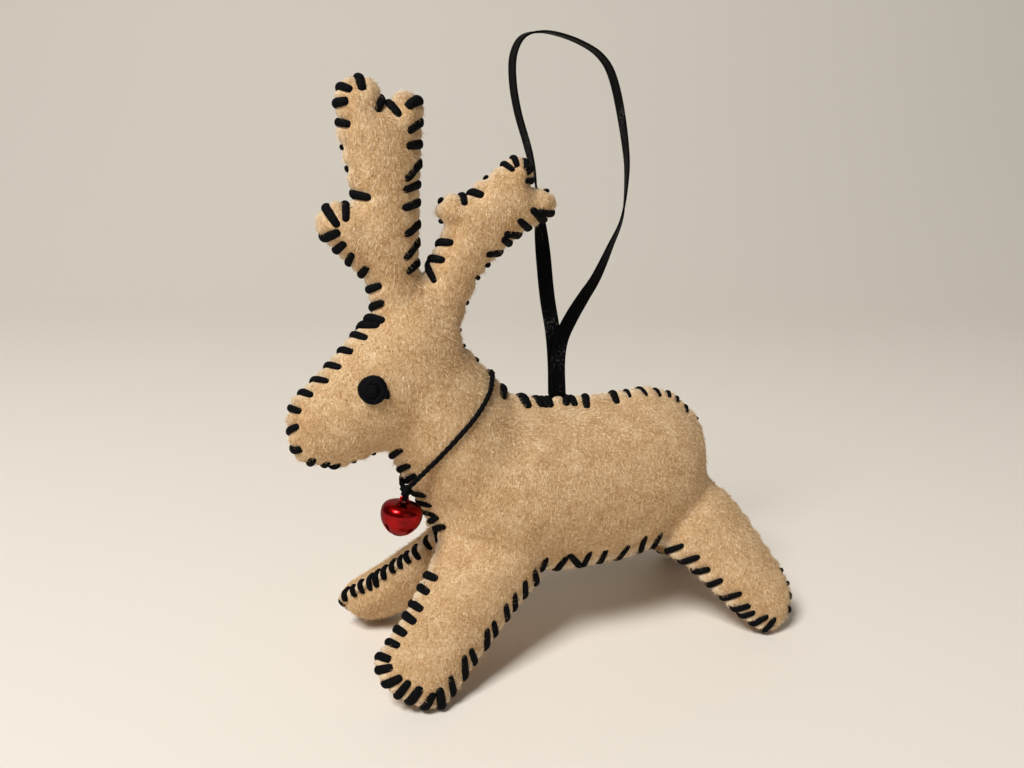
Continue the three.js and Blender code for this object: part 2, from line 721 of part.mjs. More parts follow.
// Knot, with the strand that hangs through the bell's shank
const shankReach = 2 * SHANK_R + 2 * SHANK_WIRE_R - STRAND_R - GAP; // strand to the shank's far side
const strandDrop = KNOT_RISE + GAP + shankReach; // knot middle to the strand's lowest point
const strandHalf = SHANK_WIRE_R + GAP + STRAND_R;
const strandPoints = [];
for (let i = 0; i <= 6; i++) {
  const turn = (i / 6) * Math.PI;
  strandPoints.push(new THREE.Vector3(0, strandHalf * Math.cos(turn), -strandDrop + strandHalf * (1 - Math.sin(turn))));
}
strandPoints.unshift(new THREE.Vector3(0, strandHalf, 0));
strandPoints.push(new THREE.Vector3(0, -strandHalf, 0));
const knotBody = new THREE.SphereGeometry(KNOT_R, 10, 8).scale(1, 1, KNOT_RISE / KNOT_R);
const knotSolid = solidOf(knotBody).add(solidOf(tube(strandPoints, STRAND_R, 6, 0.7)));
const hanger = new THREE.Group();
hanger.position.copy(knot);
hanger.rotation.y = BELL_LEAN;
figure.add(hanger);
addMesh("cord_knot", geometryOf(knotSolid), BLACK_COTTON, hanger);

// Bell: a hollow shell with crossed slits, its wire shank and a loose ball, about the bell's middle
const bell = new THREE.Group();
const shankMiddle = SHANK_DROP + BELL_RISE + GAP; // over the bell's middle
bell.position.z = -strandDrop + STRAND_R + GAP - SHANK_R - shankMiddle;
hanger.add(bell);
const ellipsoid = (wide, high, across, down) =>
  solidOf(new THREE.SphereGeometry(wide, across, down).rotateX(Math.PI / 2).scale(1, 1, high / wide));
const slitHigh = BELL_RISE - SLIT_TOP + GAP;
const slit = solidOf(boxAt(4 * BELL_R, SLIT_WIDTH, slitHigh, 0, 0, -SLIT_TOP - slitHigh / 2));
const slitEnd = solidOf(
  new THREE.CylinderGeometry(SLIT_HOLE_R, SLIT_HOLE_R, 4 * BELL_R, 12).rotateZ(Math.PI / 2).translate(0, 0, -SLIT_TOP),
);
const cuts = [slit, slitEnd];
const quarterTurn = (solid) => solidOf(geometryOf(solid).rotateZ(Math.PI / 2));
const shell = [...cuts, ...cuts.map(quarterTurn)].reduce(
  (left, cut) => left.subtract(cut),
  ellipsoid(BELL_R, BELL_RISE, 20, 12).subtract(ellipsoid(BELL_R - BELL_WALL, BELL_RISE - BELL_WALL, 16, 10)),
);
addMesh("bell_shell", geometryOf(shell), RED_LACQUER, bell);

const shankCentre = SHANK_R + SHANK_WIRE_R; // radius of the wire's middle
const shankPoints = [];
for (let i = 0; i <= 8; i++) {
  const turn = (i / 8) * Math.PI;
  shankPoints.push(new THREE.Vector3(shankCentre * Math.cos(turn), 0, shankMiddle + shankCentre * Math.sin(turn)));
}
shankPoints.unshift(new THREE.Vector3(shankCentre, 0, shankMiddle - SHANK_DROP));
shankPoints.push(new THREE.Vector3(-shankCentre, 0, shankMiddle - SHANK_DROP));
addMesh("bell_shank", tube(shankPoints, SHANK_WIRE_R, 8, 0.5), RED_LACQUER, bell);

const ball = addMesh("bell_ball", new THREE.SphereGeometry(BALL_R, 10, 8), STEEL, bell);
ball.position.z = BALL_R + GAP + BELL_WALL - BELL_RISE;

// The frame's origin lies on the ground, in the middle of the figure's length.
figure.updateMatrixWorld(true);
const reach = new THREE.Box3().setFromObject(figure);
figure.position.x = -(reach.min.x + reach.max.x) / 2;

export default group;
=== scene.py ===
# %% [markdown]
# # A stuffed felt reindeer to hang on a branch
# Two felt sides and a belly gusset are sewn edge to edge with black whip stitches and
# stuffed until they are round. A ribbon loop is caught in the back seam, and a small red
# bell hangs on a cord round the neck. The solid model is loaded first: it gives the place
# and the size of every piece, and everything after it is made in the same frame, in metres.

# %% Load the solid model
import json
import math

import bmesh
import bpy
import numpy as np
from mathutils import Matrix, Vector
from mathutils.bvhtree import BVHTree
from mathutils.kdtree import KDTree


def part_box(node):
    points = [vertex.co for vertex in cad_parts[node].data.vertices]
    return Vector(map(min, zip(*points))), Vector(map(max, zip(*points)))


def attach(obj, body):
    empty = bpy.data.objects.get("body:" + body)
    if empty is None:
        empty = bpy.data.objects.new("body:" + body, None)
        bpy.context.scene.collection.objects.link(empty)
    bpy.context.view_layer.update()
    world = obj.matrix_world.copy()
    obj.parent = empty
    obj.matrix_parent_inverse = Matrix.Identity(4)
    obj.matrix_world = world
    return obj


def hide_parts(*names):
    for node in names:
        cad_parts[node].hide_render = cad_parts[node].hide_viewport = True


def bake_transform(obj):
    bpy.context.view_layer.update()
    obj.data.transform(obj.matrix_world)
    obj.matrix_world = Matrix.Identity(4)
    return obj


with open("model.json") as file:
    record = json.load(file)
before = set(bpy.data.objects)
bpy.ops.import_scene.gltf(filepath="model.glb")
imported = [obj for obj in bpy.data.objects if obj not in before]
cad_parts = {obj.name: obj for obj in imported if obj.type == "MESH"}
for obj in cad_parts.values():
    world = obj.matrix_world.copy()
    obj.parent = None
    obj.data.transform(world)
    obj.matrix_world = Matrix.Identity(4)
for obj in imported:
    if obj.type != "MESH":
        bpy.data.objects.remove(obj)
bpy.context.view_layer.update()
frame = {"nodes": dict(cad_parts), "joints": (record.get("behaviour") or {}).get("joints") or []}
MM = 0.001
scene = bpy.context.scene
scene.view_settings.view_transform = "Standard"

# %% [markdown]
# ## The camera
# The picture was taken from a little above the reindeer's left side, slightly ahead of it.
# A camera could be turned by eye, but the four feet stand on one plane and the seams lie on
# known lines, so its place, its tilt and its lens were worked out from those.

# %% Set up the camera
IMAGE_WIDTH = 1024
FOCAL_PIXELS = 1000
SENSOR_WIDTH = 36.0
NEAREST = 5.0
EYE_POINT = Vector((-75.13, -164.78, 102.65)) * MM
LOOK = Vector((0.3698, 0.8883, -0.2723))

camera = bpy.data.objects.new("photo_camera", bpy.data.cameras.new("photo_camera"))
camera.data.sensor_width = SENSOR_WIDTH
camera.data.lens = camera.data.sensor_width * FOCAL_PIXELS / IMAGE_WIDTH
camera.data.clip_start = NEAREST * MM
camera.location = EYE_POINT
camera.rotation_euler = LOOK.to_track_quat("-Z", "Y").to_euler()
scene.collection.objects.link(camera)
scene.camera = camera
print("lens", round(camera.data.lens, 2), "mm")

# %% [markdown]
# ## The hanging ribbon
# A 3 mm woven ribbon leaves the back seam, stands up as a loop and comes back to the same
# place. A curve with a flat profile would do, but the ribbon also turns on itself: it lies
# flat to the viewer at its foot and edge-on at the top. So the strip is built section by
# section along a smooth route, with its width turned a quarter on the way up and back.

# %% Lay the ribbon's route
RIBBON_FOOT = np.array((2.589, 0.0, 49.18))
RIBBON_LEAN = 0.14
RIBBON_PLY_GAP = 0.9
RIBBON_STEPS = 220
CURVE_STEPS = 24
RIBBON_ROUTE = [
    (0, 0), (0.2, 6), (0, 11.7), (-0.8, 18.4), (-1.2, 25.8), (-1.6, 33), (-2.1, 39.3),
    (-3.2, 45), (-4.9, 51.5), (-5.6, 57), (-5.2, 61.5), (-3.2, 64.6), (0.4, 65.5),
    (4.4, 65), (8.4, 63.7), (11.8, 61.8), (14.1, 58.8), (15.6, 53.4), (16.7, 45.1),
    (16.7, 39.6), (15.4, 32.2), (12.5, 26.7), (9.3, 21.3), (6.4, 17.7), (3.7, 14.2),
    (1.4, 10.4), (0.4, 6), (0.2, 0),
]


def gone_along(line):
    """The distance from a line's start to each of its points."""
    return np.concatenate([[0], np.cumsum(np.linalg.norm(np.diff(line, axis=0), axis=1))])


def spaced(line, count, trim=0.0):
    """Evenly spaced points along a line, short of its two ends by the trim."""
    gone = gone_along(line)
    marks = np.linspace(trim, gone[-1] - trim, count)
    return np.stack([np.interp(marks, gone, line[:, k]) for k in range(3)], axis=1)


def smooth_route(points, steps):
    """Even steps along a smooth curve through the points."""
    points = np.asarray(points, float)
    ring = np.vstack([2 * points[:1] - points[1:2], points, 2 * points[-1:] - points[-2:-1]])
    t = np.linspace(0, 1, CURVE_STEPS, endpoint=False)[:, None]
    dense = []
    for a, b, c, d in zip(ring, ring[1:], ring[2:], ring[3:]):
        dense.append(0.5 * (2 * b + (c - a) * t + (2 * a - 5 * b + 4 * c - d) * t**2
                            + (3 * b - a - 3 * c + d) * t**3))
    return spaced(np.vstack(dense + [points[-1:]]), steps + 1)


def ramp(value, low, high):
    """Goes smoothly from 0 at low to 1 at high."""
    share = np.clip((np.asarray(value, float) - low) / (high - low), 0, 1)
    return share * share * (3 - 2 * share)


def unit(vectors):
    """The vectors at length one."""
    return vectors / np.maximum(np.linalg.norm(vectors, axis=-1, keepdims=True), 1e-12)


last = len(RIBBON_ROUTE) - 1
ribbon_line = smooth_route(
    [RIBBON_FOOT + (x, RIBBON_LEAN * rise + RIBBON_PLY_GAP * (0.5 - i / last), rise)
     for i, (x, rise) in enumerate(RIBBON_ROUTE)],
    RIBBON_STEPS,
)

# %% Build the ribbon strip
RIBBON_WIDTH = 3.0
RIBBON_THICK = 0.4
TURN_UP = (0.16, 0.31)
TURN_BACK = (0.6, 0.97)
RIBBON_ACROSS = (-0.5, -0.46, -0.38, 0.0, 0.38, 0.46, 0.5)
RIBBON_SWELL = (0.55, 1.0, 0.72, 0.66, 0.72, 1.0, 0.55)


def new_piece(name, mesh, material=None):
    """Puts a mesh in the scene as a piece at the origin."""
    piece = bpy.data.objects.new(name, mesh)
    scene.collection.objects.link(piece)
    if material:
        mesh.materials.append(material)
    return piece


def mesh_of(name, points_mm, faces):
    """A smooth-shaded mesh from points in millimetres."""
    mesh = bpy.data.meshes.new(name)
    mesh.from_pydata((np.asarray(points_mm) * MM).tolist(), [], [list(map(int, f)) for f in faces])
    mesh.polygons.foreach_set("use_smooth", [True] * len(mesh.polygons))
    mesh.update()
    return mesh


def tube_faces(rows, count):
    """Four-sided faces round a tube of point rings, and one face to close each end."""
    faces = []
    for i in range(rows - 1):
        for j in range(count):
            a, b = i * count + j, i * count + (j + 1) % count
            faces.append((a, b, b + count, a + count))
    faces.append(range(count - 1, -1, -1))
    faces.append(range((rows - 1) * count, rows * count))
    return faces


def strip_mesh(name, line, width_way, width, thick):
    """A woven strip with thicker selvedges, and a UV map that runs along it in millimetres."""
    along = unit(np.gradient(line, axis=0))
    wide = unit(width_way - along * (width_way * along).sum(1, keepdims=True))
    flat = np.cross(along, wide)
    across = np.array(RIBBON_ACROSS + RIBBON_ACROSS[::-1]) * width
    half = np.array(RIBBON_SWELL + tuple(-s for s in RIBBON_SWELL[::-1])) * thick / 2
    count = len(across)
    points = line[:, None] + across[None, :, None] * wide[:, None] + half[None, :, None] * flat[:, None]
    mesh = mesh_of(name, points.reshape(-1, 3), tube_faces(len(line), count))
    gone = gone_along(line)
    weave = mesh.uv_layers.new(name="weave")
    for loop in mesh.loops:
        row, column = divmod(loop.vertex_index, count)
        weave.data[loop.index].uv = (gone[row], across[column] + width / 2)
    cleaned = bmesh.new()
    cleaned.from_mesh(mesh)
    bmesh.ops.recalc_face_normals(cleaned, faces=cleaned.faces)
    cleaned.to_mesh(mesh)
    cleaned.free()
    return mesh


share = np.linspace(0, 1, RIBBON_STEPS + 1)
quarter = (math.pi / 2) * (ramp(share, *TURN_UP) - ramp(share, *TURN_BACK))
turned = np.stack([np.cos(quarter), np.sin(quarter), 0 * quarter], axis=1)
ribbon = new_piece("ribbon_loop", strip_mesh("ribbon_loop", ribbon_line, turned, RIBBON_WIDTH, RIBBON_THICK))
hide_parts("hanging_ribbon")
print("ribbon strip", len(ribbon.data.polygons), "faces")

# %% [markdown]
# ## Colours and nodes
# Every finish below is built from nodes, so some small helpers come first. Colours are read
# from a screen as sRGB, while the shader works in linear light, so one function converts
# them. The others add a node with its settings and its links in one go, and give the two
# kinds of node that come up most: a step of arithmetic and soft noise of a known size.

# %% Colour and node helpers
def paint(code):
    """An sRGB hex colour as linear RGBA."""
    parts = [int(code[i:i + 2], 16) / 255 for i in (1, 3, 5)]
    return (*[p / 12.92 if p <= 0.04045 else ((p + 0.055) / 1.055) ** 2.4 for p in parts], 1)


def fill(tree, node, inputs):
    """Fills a node's inputs, by name or number, each with a value or another node's socket."""
    for key, value in inputs.items():
        if isinstance(value, bpy.types.NodeSocket):
            tree.links.new(value, node.inputs[key])
        else:
            node.inputs[key].default_value = value


def add(tree, kind, inputs=None, **settings):
    """Adds a node with its settings and its inputs."""
    made = tree.nodes.new(kind)
    for key, value in settings.items():
        setattr(made, key, value)
    fill(tree, made, inputs or {})
    return made


def maths(tree, operation, *values):
    """The result of one step of arithmetic on values or sockets."""
    return add(tree, "ShaderNodeMath", dict(enumerate(values)), operation=operation).outputs[0]


def new_finish(name):
    """An empty material, its node tree and its main shader."""
    made = bpy.data.materials.new(name)
    made.use_nodes = True
    return made, made.node_tree, made.node_tree.nodes["Principled BSDF"]


def noise(tree, size_mm, detail, place=None, **more):
    """Soft noise with features of this size, fixed to the piece unless it has a place of its own."""
    if place is None:
        place = add(tree, "ShaderNodeTexCoord").outputs["Object"]
    return add(tree, "ShaderNodeTexNoise", {"Vector": place, "Scale": 1 / (size_mm * MM), "Detail": detail,
                                            **more}).outputs[0]


print("white is", paint("#ffffff"))

# %% [markdown]
# ## The felt
# Needled wool-mix felt has no weave: its fibres lie in every direction, with a soft nap that
# scatters light at its edge. Most of that look comes from real fibres, which are grown on it
# further down. The sheet under them needs a fine mottle, some longer combed streaks, a small
# bump and a dry, sheeny surface.

# %% Felt finish
FELT_DEEP = "#a67d50"
FELT_MID = "#caa476"
FELT_PALE = "#ecd2ab"
# Pale colour of a painted highlight along the seams, where the fuzzy raw edges catch the light.
LIT_EDGE_COLOUR = "#ead9bd"
MOTTLE_SIZE = 4.0
MOTTLE_SHARE = 0.3
FIBRE_SIZE = 0.32
FIBRE_SHARE = 0.8
FIBRE_RELIEF = 0.25
COMB_TURN = (0.0, 0.35, 0.0)
COMB_STRETCH = (1.0, 1.0, 0.45)
EDGE_HIGHLIGHT_SHARE = 0.6


def two_tone(tree, amount, low, dark, high, light):
    """A colour that goes from dark to light as the amount goes from low to high."""
    colours = add(tree, "ShaderNodeValToRGB", {"Fac": amount})
    stops = colours.color_ramp.elements
    stops[0].position, stops[0].color = low, paint(dark)
    stops[1].position, stops[1].color = high, paint(light)
    return colours


def felt_finish(name):
    finish, tree, shader = new_finish(name)
    mottle = noise(tree, MOTTLE_SIZE, 3.0)
    place = add(tree, "ShaderNodeTexCoord").outputs["Object"]
    combed = add(tree, "ShaderNodeMapping", {"Vector": place, "Rotation": COMB_TURN, "Scale": COMB_STRETCH})
    fibre = noise(tree, FIBRE_SIZE, 4.0, combed.outputs[0], Roughness=0.7, Distortion=0.8)
    grain = maths(tree, "MULTIPLY_ADD", fibre, FIBRE_SHARE, maths(tree, "MULTIPLY", mottle, MOTTLE_SHARE))
    colours = two_tone(tree, grain, 0.4, FELT_DEEP, 0.72, FELT_PALE)
    colours.color_ramp.elements.new(0.56).color = paint(FELT_MID)
    # Painted highlight: near the seams the felt is mixed towards a paler colour, where the fuzzy raw edges
    # catch the light.
    edge = add(tree, "ShaderNodeAttribute", attribute_name="rim")
    edge_highlight = maths(tree, "MULTIPLY", edge.outputs["Fac"], EDGE_HIGHLIGHT_SHARE)
    base = add(tree, "ShaderNodeMix", {"Factor": edge_highlight, "A": colours.outputs[0], "B": paint(LIT_EDGE_COLOUR)},
               data_type="RGBA")
    raised = add(tree, "ShaderNodeBump", {"Height": fibre, "Strength": 0.6, "Distance": FIBRE_RELIEF * MM})
    fill(tree, shader, {"Base Color": base.outputs["Result"], "Normal": raised.outputs[0], "Roughness": 0.85,
                        "Specular IOR Level": 0.25, "Sheen Weight": 0.2, "Sheen Roughness": 0.4,
                        "Sheen Tint": paint("#ffe9c8")})
    return finish


felt = felt_finish("needled_cream_felt")
print("made", felt.name)

# %% [markdown]
# ## The stuffed body
# The solids hold the pattern's outline and thickness: two sides and a gusset round firm
# wads of filling. Real felt runs over those wads as one smooth skin, pinched in at the
# seams. So copies of the solids are joined, wrapped in one fine closed mesh, smoothed,
# and then blown up a little by a cloth simulation, with the seams held still.

# %% Wrap the solids in one skin
FELT_NODES = ("left_side_panel", "right_side_panel", "belly_gusset")
STUFFING = tuple(sorted(n for n in frame["nodes"] if n.endswith("_stuffing")))
SKIN_VOXEL = 0.6
SAME_POINT = 0.001


def rows_of(items, field, width, kind=float):
    """One field of a mesh's points or edges, as rows."""
    flat = np.zeros(len(items) * width, kind)
    items.foreach_get(field, flat)
    return flat.reshape(-1, width)


def points_of(mesh):
    """A mesh's points in millimetres."""
    return rows_of(mesh.vertices, "co", 3) / MM


def evaluated_mesh(piece):
    """A piece's mesh with its modifiers applied."""
    return bpy.data.meshes.new_from_object(piece.evaluated_get(bpy.context.evaluated_depsgraph_get()))


def as_mesh(name, loose):
    """Keeps a bmesh as a mesh and frees it."""
    mesh = bpy.data.meshes.new(name)
    loose.to_mesh(mesh)
    loose.free()
    return mesh


wrapped = bmesh.new()
for node_name in FELT_NODES + STUFFING + ("ribbon_tail",):
    copy = bmesh.new()
    copy.from_mesh(frame["nodes"][node_name].data)
    bmesh.ops.remove_doubles(copy, verts=copy.verts, dist=SAME_POINT * MM)
    joined = as_mesh("joined", copy)
    wrapped.from_mesh(joined)
    bpy.data.meshes.remove(joined)
wrapping = new_piece("skin", as_mesh("skin", wrapped))
remesh = wrapping.modifiers.new("wrap", "REMESH")
remesh.mode = "VOXEL"
remesh.voxel_size = SKIN_VOXEL * MM
skin_mesh = evaluated_mesh(wrapping)
bpy.data.objects.remove(wrapping)
skin = points_of(skin_mesh)
skin_pairs = rows_of(skin_mesh.edges, "vertices", 2, int)
skin_faces = [tuple(p.vertices) for p in skin_mesh.polygons]
print("skin", len(skin), "points")

# %% Smooth the skin away from the seams
PATTERN_SHIFT = 34.2111
RIDGE_FRONT = (11.8, 25.0)
RIDGE_SLOPE = 6.5 / 58.2
FOOT_HALF_SPACING = 19.9
SEAM_OUT = 0.5
HIP = (36.5, 5.5, 28.0)
HIP_REACH = 5.0
HIP_STEPS = 120
EVEN_ROUNDS = 30
SMOOTH_STEPS = 40
SMOOTH_FROM = (1.5, 6.0)
SMOOTH_SHARE = 0.5


def ridge_height(x):
    """How high the gusset's two seams meet, at a place along the body."""
    return RIDGE_FRONT[1] + RIDGE_SLOPE * (x + PATTERN_SHIFT - RIDGE_FRONT[0])


def gusset_depth(points):
    """Below zero under the belly seams, and growing towards the sides."""
    ridge = ridge_height(points[:, 0])
    lean = FOOT_HALF_SPACING / ridge
    return (np.abs(points[:, 1]) - lean * (ridge - points[:, 2])) / np.sqrt(1 + lean**2) - SEAM_OUT


def seam_distance(points):
    """How far points lie from the surface of their nearest seam."""
    above = points[:, 2] > ridge_height(points[:, 0])
    return np.where(above, np.abs(points[:, 1]), np.abs(gusset_depth(points)))


def relaxed(points, pairs, steps, amount):
    """Moves each point towards its neighbours' middle by an amount of its own."""
    first, second = pairs[:, 0], pairs[:, 1]
    count = len(points)
    neighbours = np.bincount(first, minlength=count) + np.bincount(second, minlength=count)
    for _ in range(steps):
        total = np.stack([np.bincount(first, points[second, k], count)
                          + np.bincount(second, points[first, k], count) for k in range(3)], axis=1)
        points = points + amount * (total / neighbours[:, None] - points)
    return points


def evened(points, pairs, rounds, give=0.5, take=-0.52):
    """Smooths without shrinking: each step in is followed by a slightly larger step out."""
    for _ in range(rounds):
        points = relaxed(points, pairs, 1, give)
        points = relaxed(points, pairs, 1, take)
    return points


skin = evened(skin, skin_pairs, EVEN_ROUNDS)
away = ramp(seam_distance(skin), *SMOOTH_FROM)[:, None]
skin = relaxed(skin, skin_pairs, SMOOTH_STEPS, SMOOTH_SHARE * away)
folded = np.column_stack([skin[:, 0], np.abs(skin[:, 1]), skin[:, 2]])
at_hip = np.exp(-(np.linalg.norm(folded - HIP, axis=1) / HIP_REACH) ** 2)[:, None]
skin = relaxed(skin, skin_pairs, HIP_STEPS, SMOOTH_SHARE * at_hip)
print("skin box", skin.min(0).round(1), skin.max(0).round(1))

# %% Blow up the skin
CLOTH_SCALE = 8.0
CLOTH_FRAMES = 12
CLOTH_QUALITY = 3
CLOTH_STIFFNESS = 0.5
CLOTH_PRESSURE = 11
PUFF_CAP = 1.2
SEAM_HOLD = 1.1
PUFF_ROUNDS = 6


def mesh_normals(points, faces):
    mesh = mesh_of("measure", points, faces)
    normals = rows_of(mesh.vertices, "normal", 3)
    bpy.data.meshes.remove(mesh)
    return normals


def puffed(points, faces, held):
    """Swells a closed skin under pressure, with the held points still."""
    sheet = new_piece("puffing", mesh_of("puffing", points * CLOTH_SCALE, faces))
    group = sheet.vertex_groups.new(name="seams")
    group.add(np.flatnonzero(held).tolist(), 1.0, "REPLACE")
    cloth = sheet.modifiers.new("cloth", "CLOTH")
    cloth.settings.quality = CLOTH_QUALITY
    cloth.settings.tension_stiffness = CLOTH_STIFFNESS
    cloth.settings.compression_stiffness = CLOTH_STIFFNESS
    cloth.settings.shear_stiffness = CLOTH_STIFFNESS / 3
    cloth.settings.vertex_group_mass = "seams"
    cloth.settings.use_pressure = True
    cloth.settings.uniform_pressure_force = CLOTH_PRESSURE
    cloth.settings.effector_weights.gravity = 0
    cloth.collision_settings.use_collision = False
    cloth.collision_settings.use_self_collision = False
    cloth.point_cache.frame_end = CLOTH_FRAMES
    for step in range(1, CLOTH_FRAMES + 1):
        scene.frame_set(step)
    swollen = evaluated_mesh(sheet)
    moved = points_of(swollen) / CLOTH_SCALE - points
    scene.frame_set(1)
    bpy.data.objects.remove(sheet)
    far = np.linalg.norm(moved, axis=1, keepdims=True)
    return points + moved * np.minimum(1, PUFF_CAP / np.maximum(far, 1e-9)), far


held = seam_distance(skin) < SEAM_HOLD
skin, swell = puffed(skin, skin_faces, held)
skin = evened(skin, skin_pairs, PUFF_ROUNDS)
print("puffed: middle move", round(float(np.median(swell)), 2), "mm, most", round(float(swell.max()), 2))

# %% [markdown]
# ## Cutting the skin into its three pieces
# The skin is one closed mesh, but the real one is three pieces of felt that meet at the
# seams. The seams lie on simple surfaces of the pattern: the middle plane above, and two
# leaning planes below. Cutting every edge exactly where it crosses such a surface gives
# clean borders, and those borders are the lines that the stitches follow.

# %% Cut along the seams
LEFT, RIGHT, GUSSET = 0, 1, 2
OFF_CUT = 1e-4
NEAR_SEAM = 1e-3


def cut_where_zero(mesh, field):
    """Splits edges and faces of a bmesh where a field over points in millimetres is zero."""
    mesh.verts.index_update()
    value = field(np.array([v.co for v in mesh.verts]) / MM)
    value[np.abs(value) < OFF_CUT] = OFF_CUT
    fresh = set()
    for edge in list(mesh.edges):
        a, b = value[edge.verts[0].index], value[edge.verts[1].index]
        if a * b < 0:
            fresh.add(bmesh.utils.edge_split(edge, edge.verts[0], a / (a - b))[1])
    for face in list(mesh.faces):
        ends = [v for v in face.verts if v in fresh]
        if len(ends) == 2:
            bmesh.utils.face_split(face, ends[0], ends[1])
    mesh.verts.index_update()
    mesh.faces.index_update()


def middle_plane(points):
    """Left and right above the belly seams, and one side all over below them."""
    return np.where(gusset_depth(points) < NEAR_SEAM, 1.0, points[:, 1])


body = bmesh.new()
body.from_mesh(mesh_of("body", skin, skin_faces))
cut_where_zero(body, gusset_depth)
cut_where_zero(body, middle_plane)
centres = np.array([f.calc_center_median() for f in body.faces]) / MM
panel_of = np.where(gusset_depth(centres) < 0, GUSSET, np.where(centres[:, 1] < 0, LEFT, RIGHT))
print("faces: left", (panel_of == LEFT).sum(), "right", (panel_of == RIGHT).sum(),
      "gusset", (panel_of == GUSSET).sum())

# %% Follow the seam lines
def seam_chain(mesh, pair):
    """The points of the border between two panels, from the chest to the rump."""
    joins = {}
    for edge in mesh.edges:
        if {int(panel_of[f.index]) for f in edge.link_faces} == set(pair):
            a, b = (v.index for v in edge.verts)
            joins.setdefault(a, []).append(b)
            joins.setdefault(b, []).append(a)
    chains = []
    unused = set(joins)
    while unused:
        loose = [v for v in unused if len(joins[v]) != 2]
        mesh.verts.ensure_lookup_table()
        here = min(loose or unused, key=lambda v: mesh.verts[v].co.x)
        chain = [here]
        unused.discard(here)
        while True:
            onward = [v for v in joins[chain[-1]] if v in unused]
            if not onward:
                break
            chain.append(onward[0])
            unused.discard(onward[0])
        chains.append(chain)
    return max(chains, key=len)


seam_points = {}
for seam_name, pair in (("top", (LEFT, RIGHT)), ("left", (LEFT, GUSSET)), ("right", (RIGHT, GUSSET))):
    seam_points[seam_name] = seam_chain(body, pair)
body.verts.ensure_lookup_table()
body_points = np.array([v.co for v in body.verts]) / MM
body_faces = [tuple(v.index for v in f.verts) for f in body.faces]
body.free()
for seam_name, chain in seam_points.items():
    run = gone_along(body_points[chain])[-1]
    print(seam_name, "seam", len(chain), "points,", round(float(run), 1), "mm",
          body_points[chain[0]].round(1), body_points[chain[-1]].round(1))

# %% Pinch the edges along the seams
PINCH = 0.45
PINCH_REACH = 2.8
PINCH_MOST = 3.0


def tree_of(points):
    """Points sorted for a quick search of the nearest."""
    made = KDTree(len(points))
    for i, point in enumerate(points):
        made.insert(point, i)
    made.balance()
    return made


def pinched(points, chain, depth, way):
    """Draws the felt beside a seam in, towards the surface that the seam lies on."""
    tree = tree_of(points[chain])
    reach = np.array([tree.find(p)[2] for p in points])
    beside = np.sqrt(np.maximum(reach**2 - depth**2, 0))
    move = PINCH * np.clip(depth, -PINCH_MOST, PINCH_MOST) * (1 - ramp(beside, 0, PINCH_REACH))
    return points - way * move[:, None]


below = gusset_depth(body_points)
body_points = pinched(body_points, seam_points["top"], np.where(below > 0, body_points[:, 1], 0),
                      np.array((0.0, 1.0, 0.0)))
lean = FOOT_HALF_SPACING / ridge_height(body_points[:, 0])
for side, name in ((-1, "left"), (1, "right")):
    facing = unit(np.stack([0 * lean, side + 0 * lean, lean], axis=1))
    depth = np.where(body_points[:, 1] * side > 0, gusset_depth(body_points), 0)
    body_points = pinched(body_points, seam_points[name], depth, facing)
print("pinched the edges by up to", PINCH * PINCH_MOST, "mm")

# %% [markdown]
# ## Planning the whip stitches
# Each stitch goes over the edge from one piece of felt to the other, at a slant. One even
# pitch all round would look machine made: by hand the stitches crowd at the tips of the
# feet and antlers, lean with the seam and lie further apart on the back. So each seam is
# listed in short runs, by the place of the run's first and last stitch in side view, how
# many there are, how far they reach, how they lean and how wide the thread lies. Where a
# run's stitches don't show on the near side, they go over on the far side only.

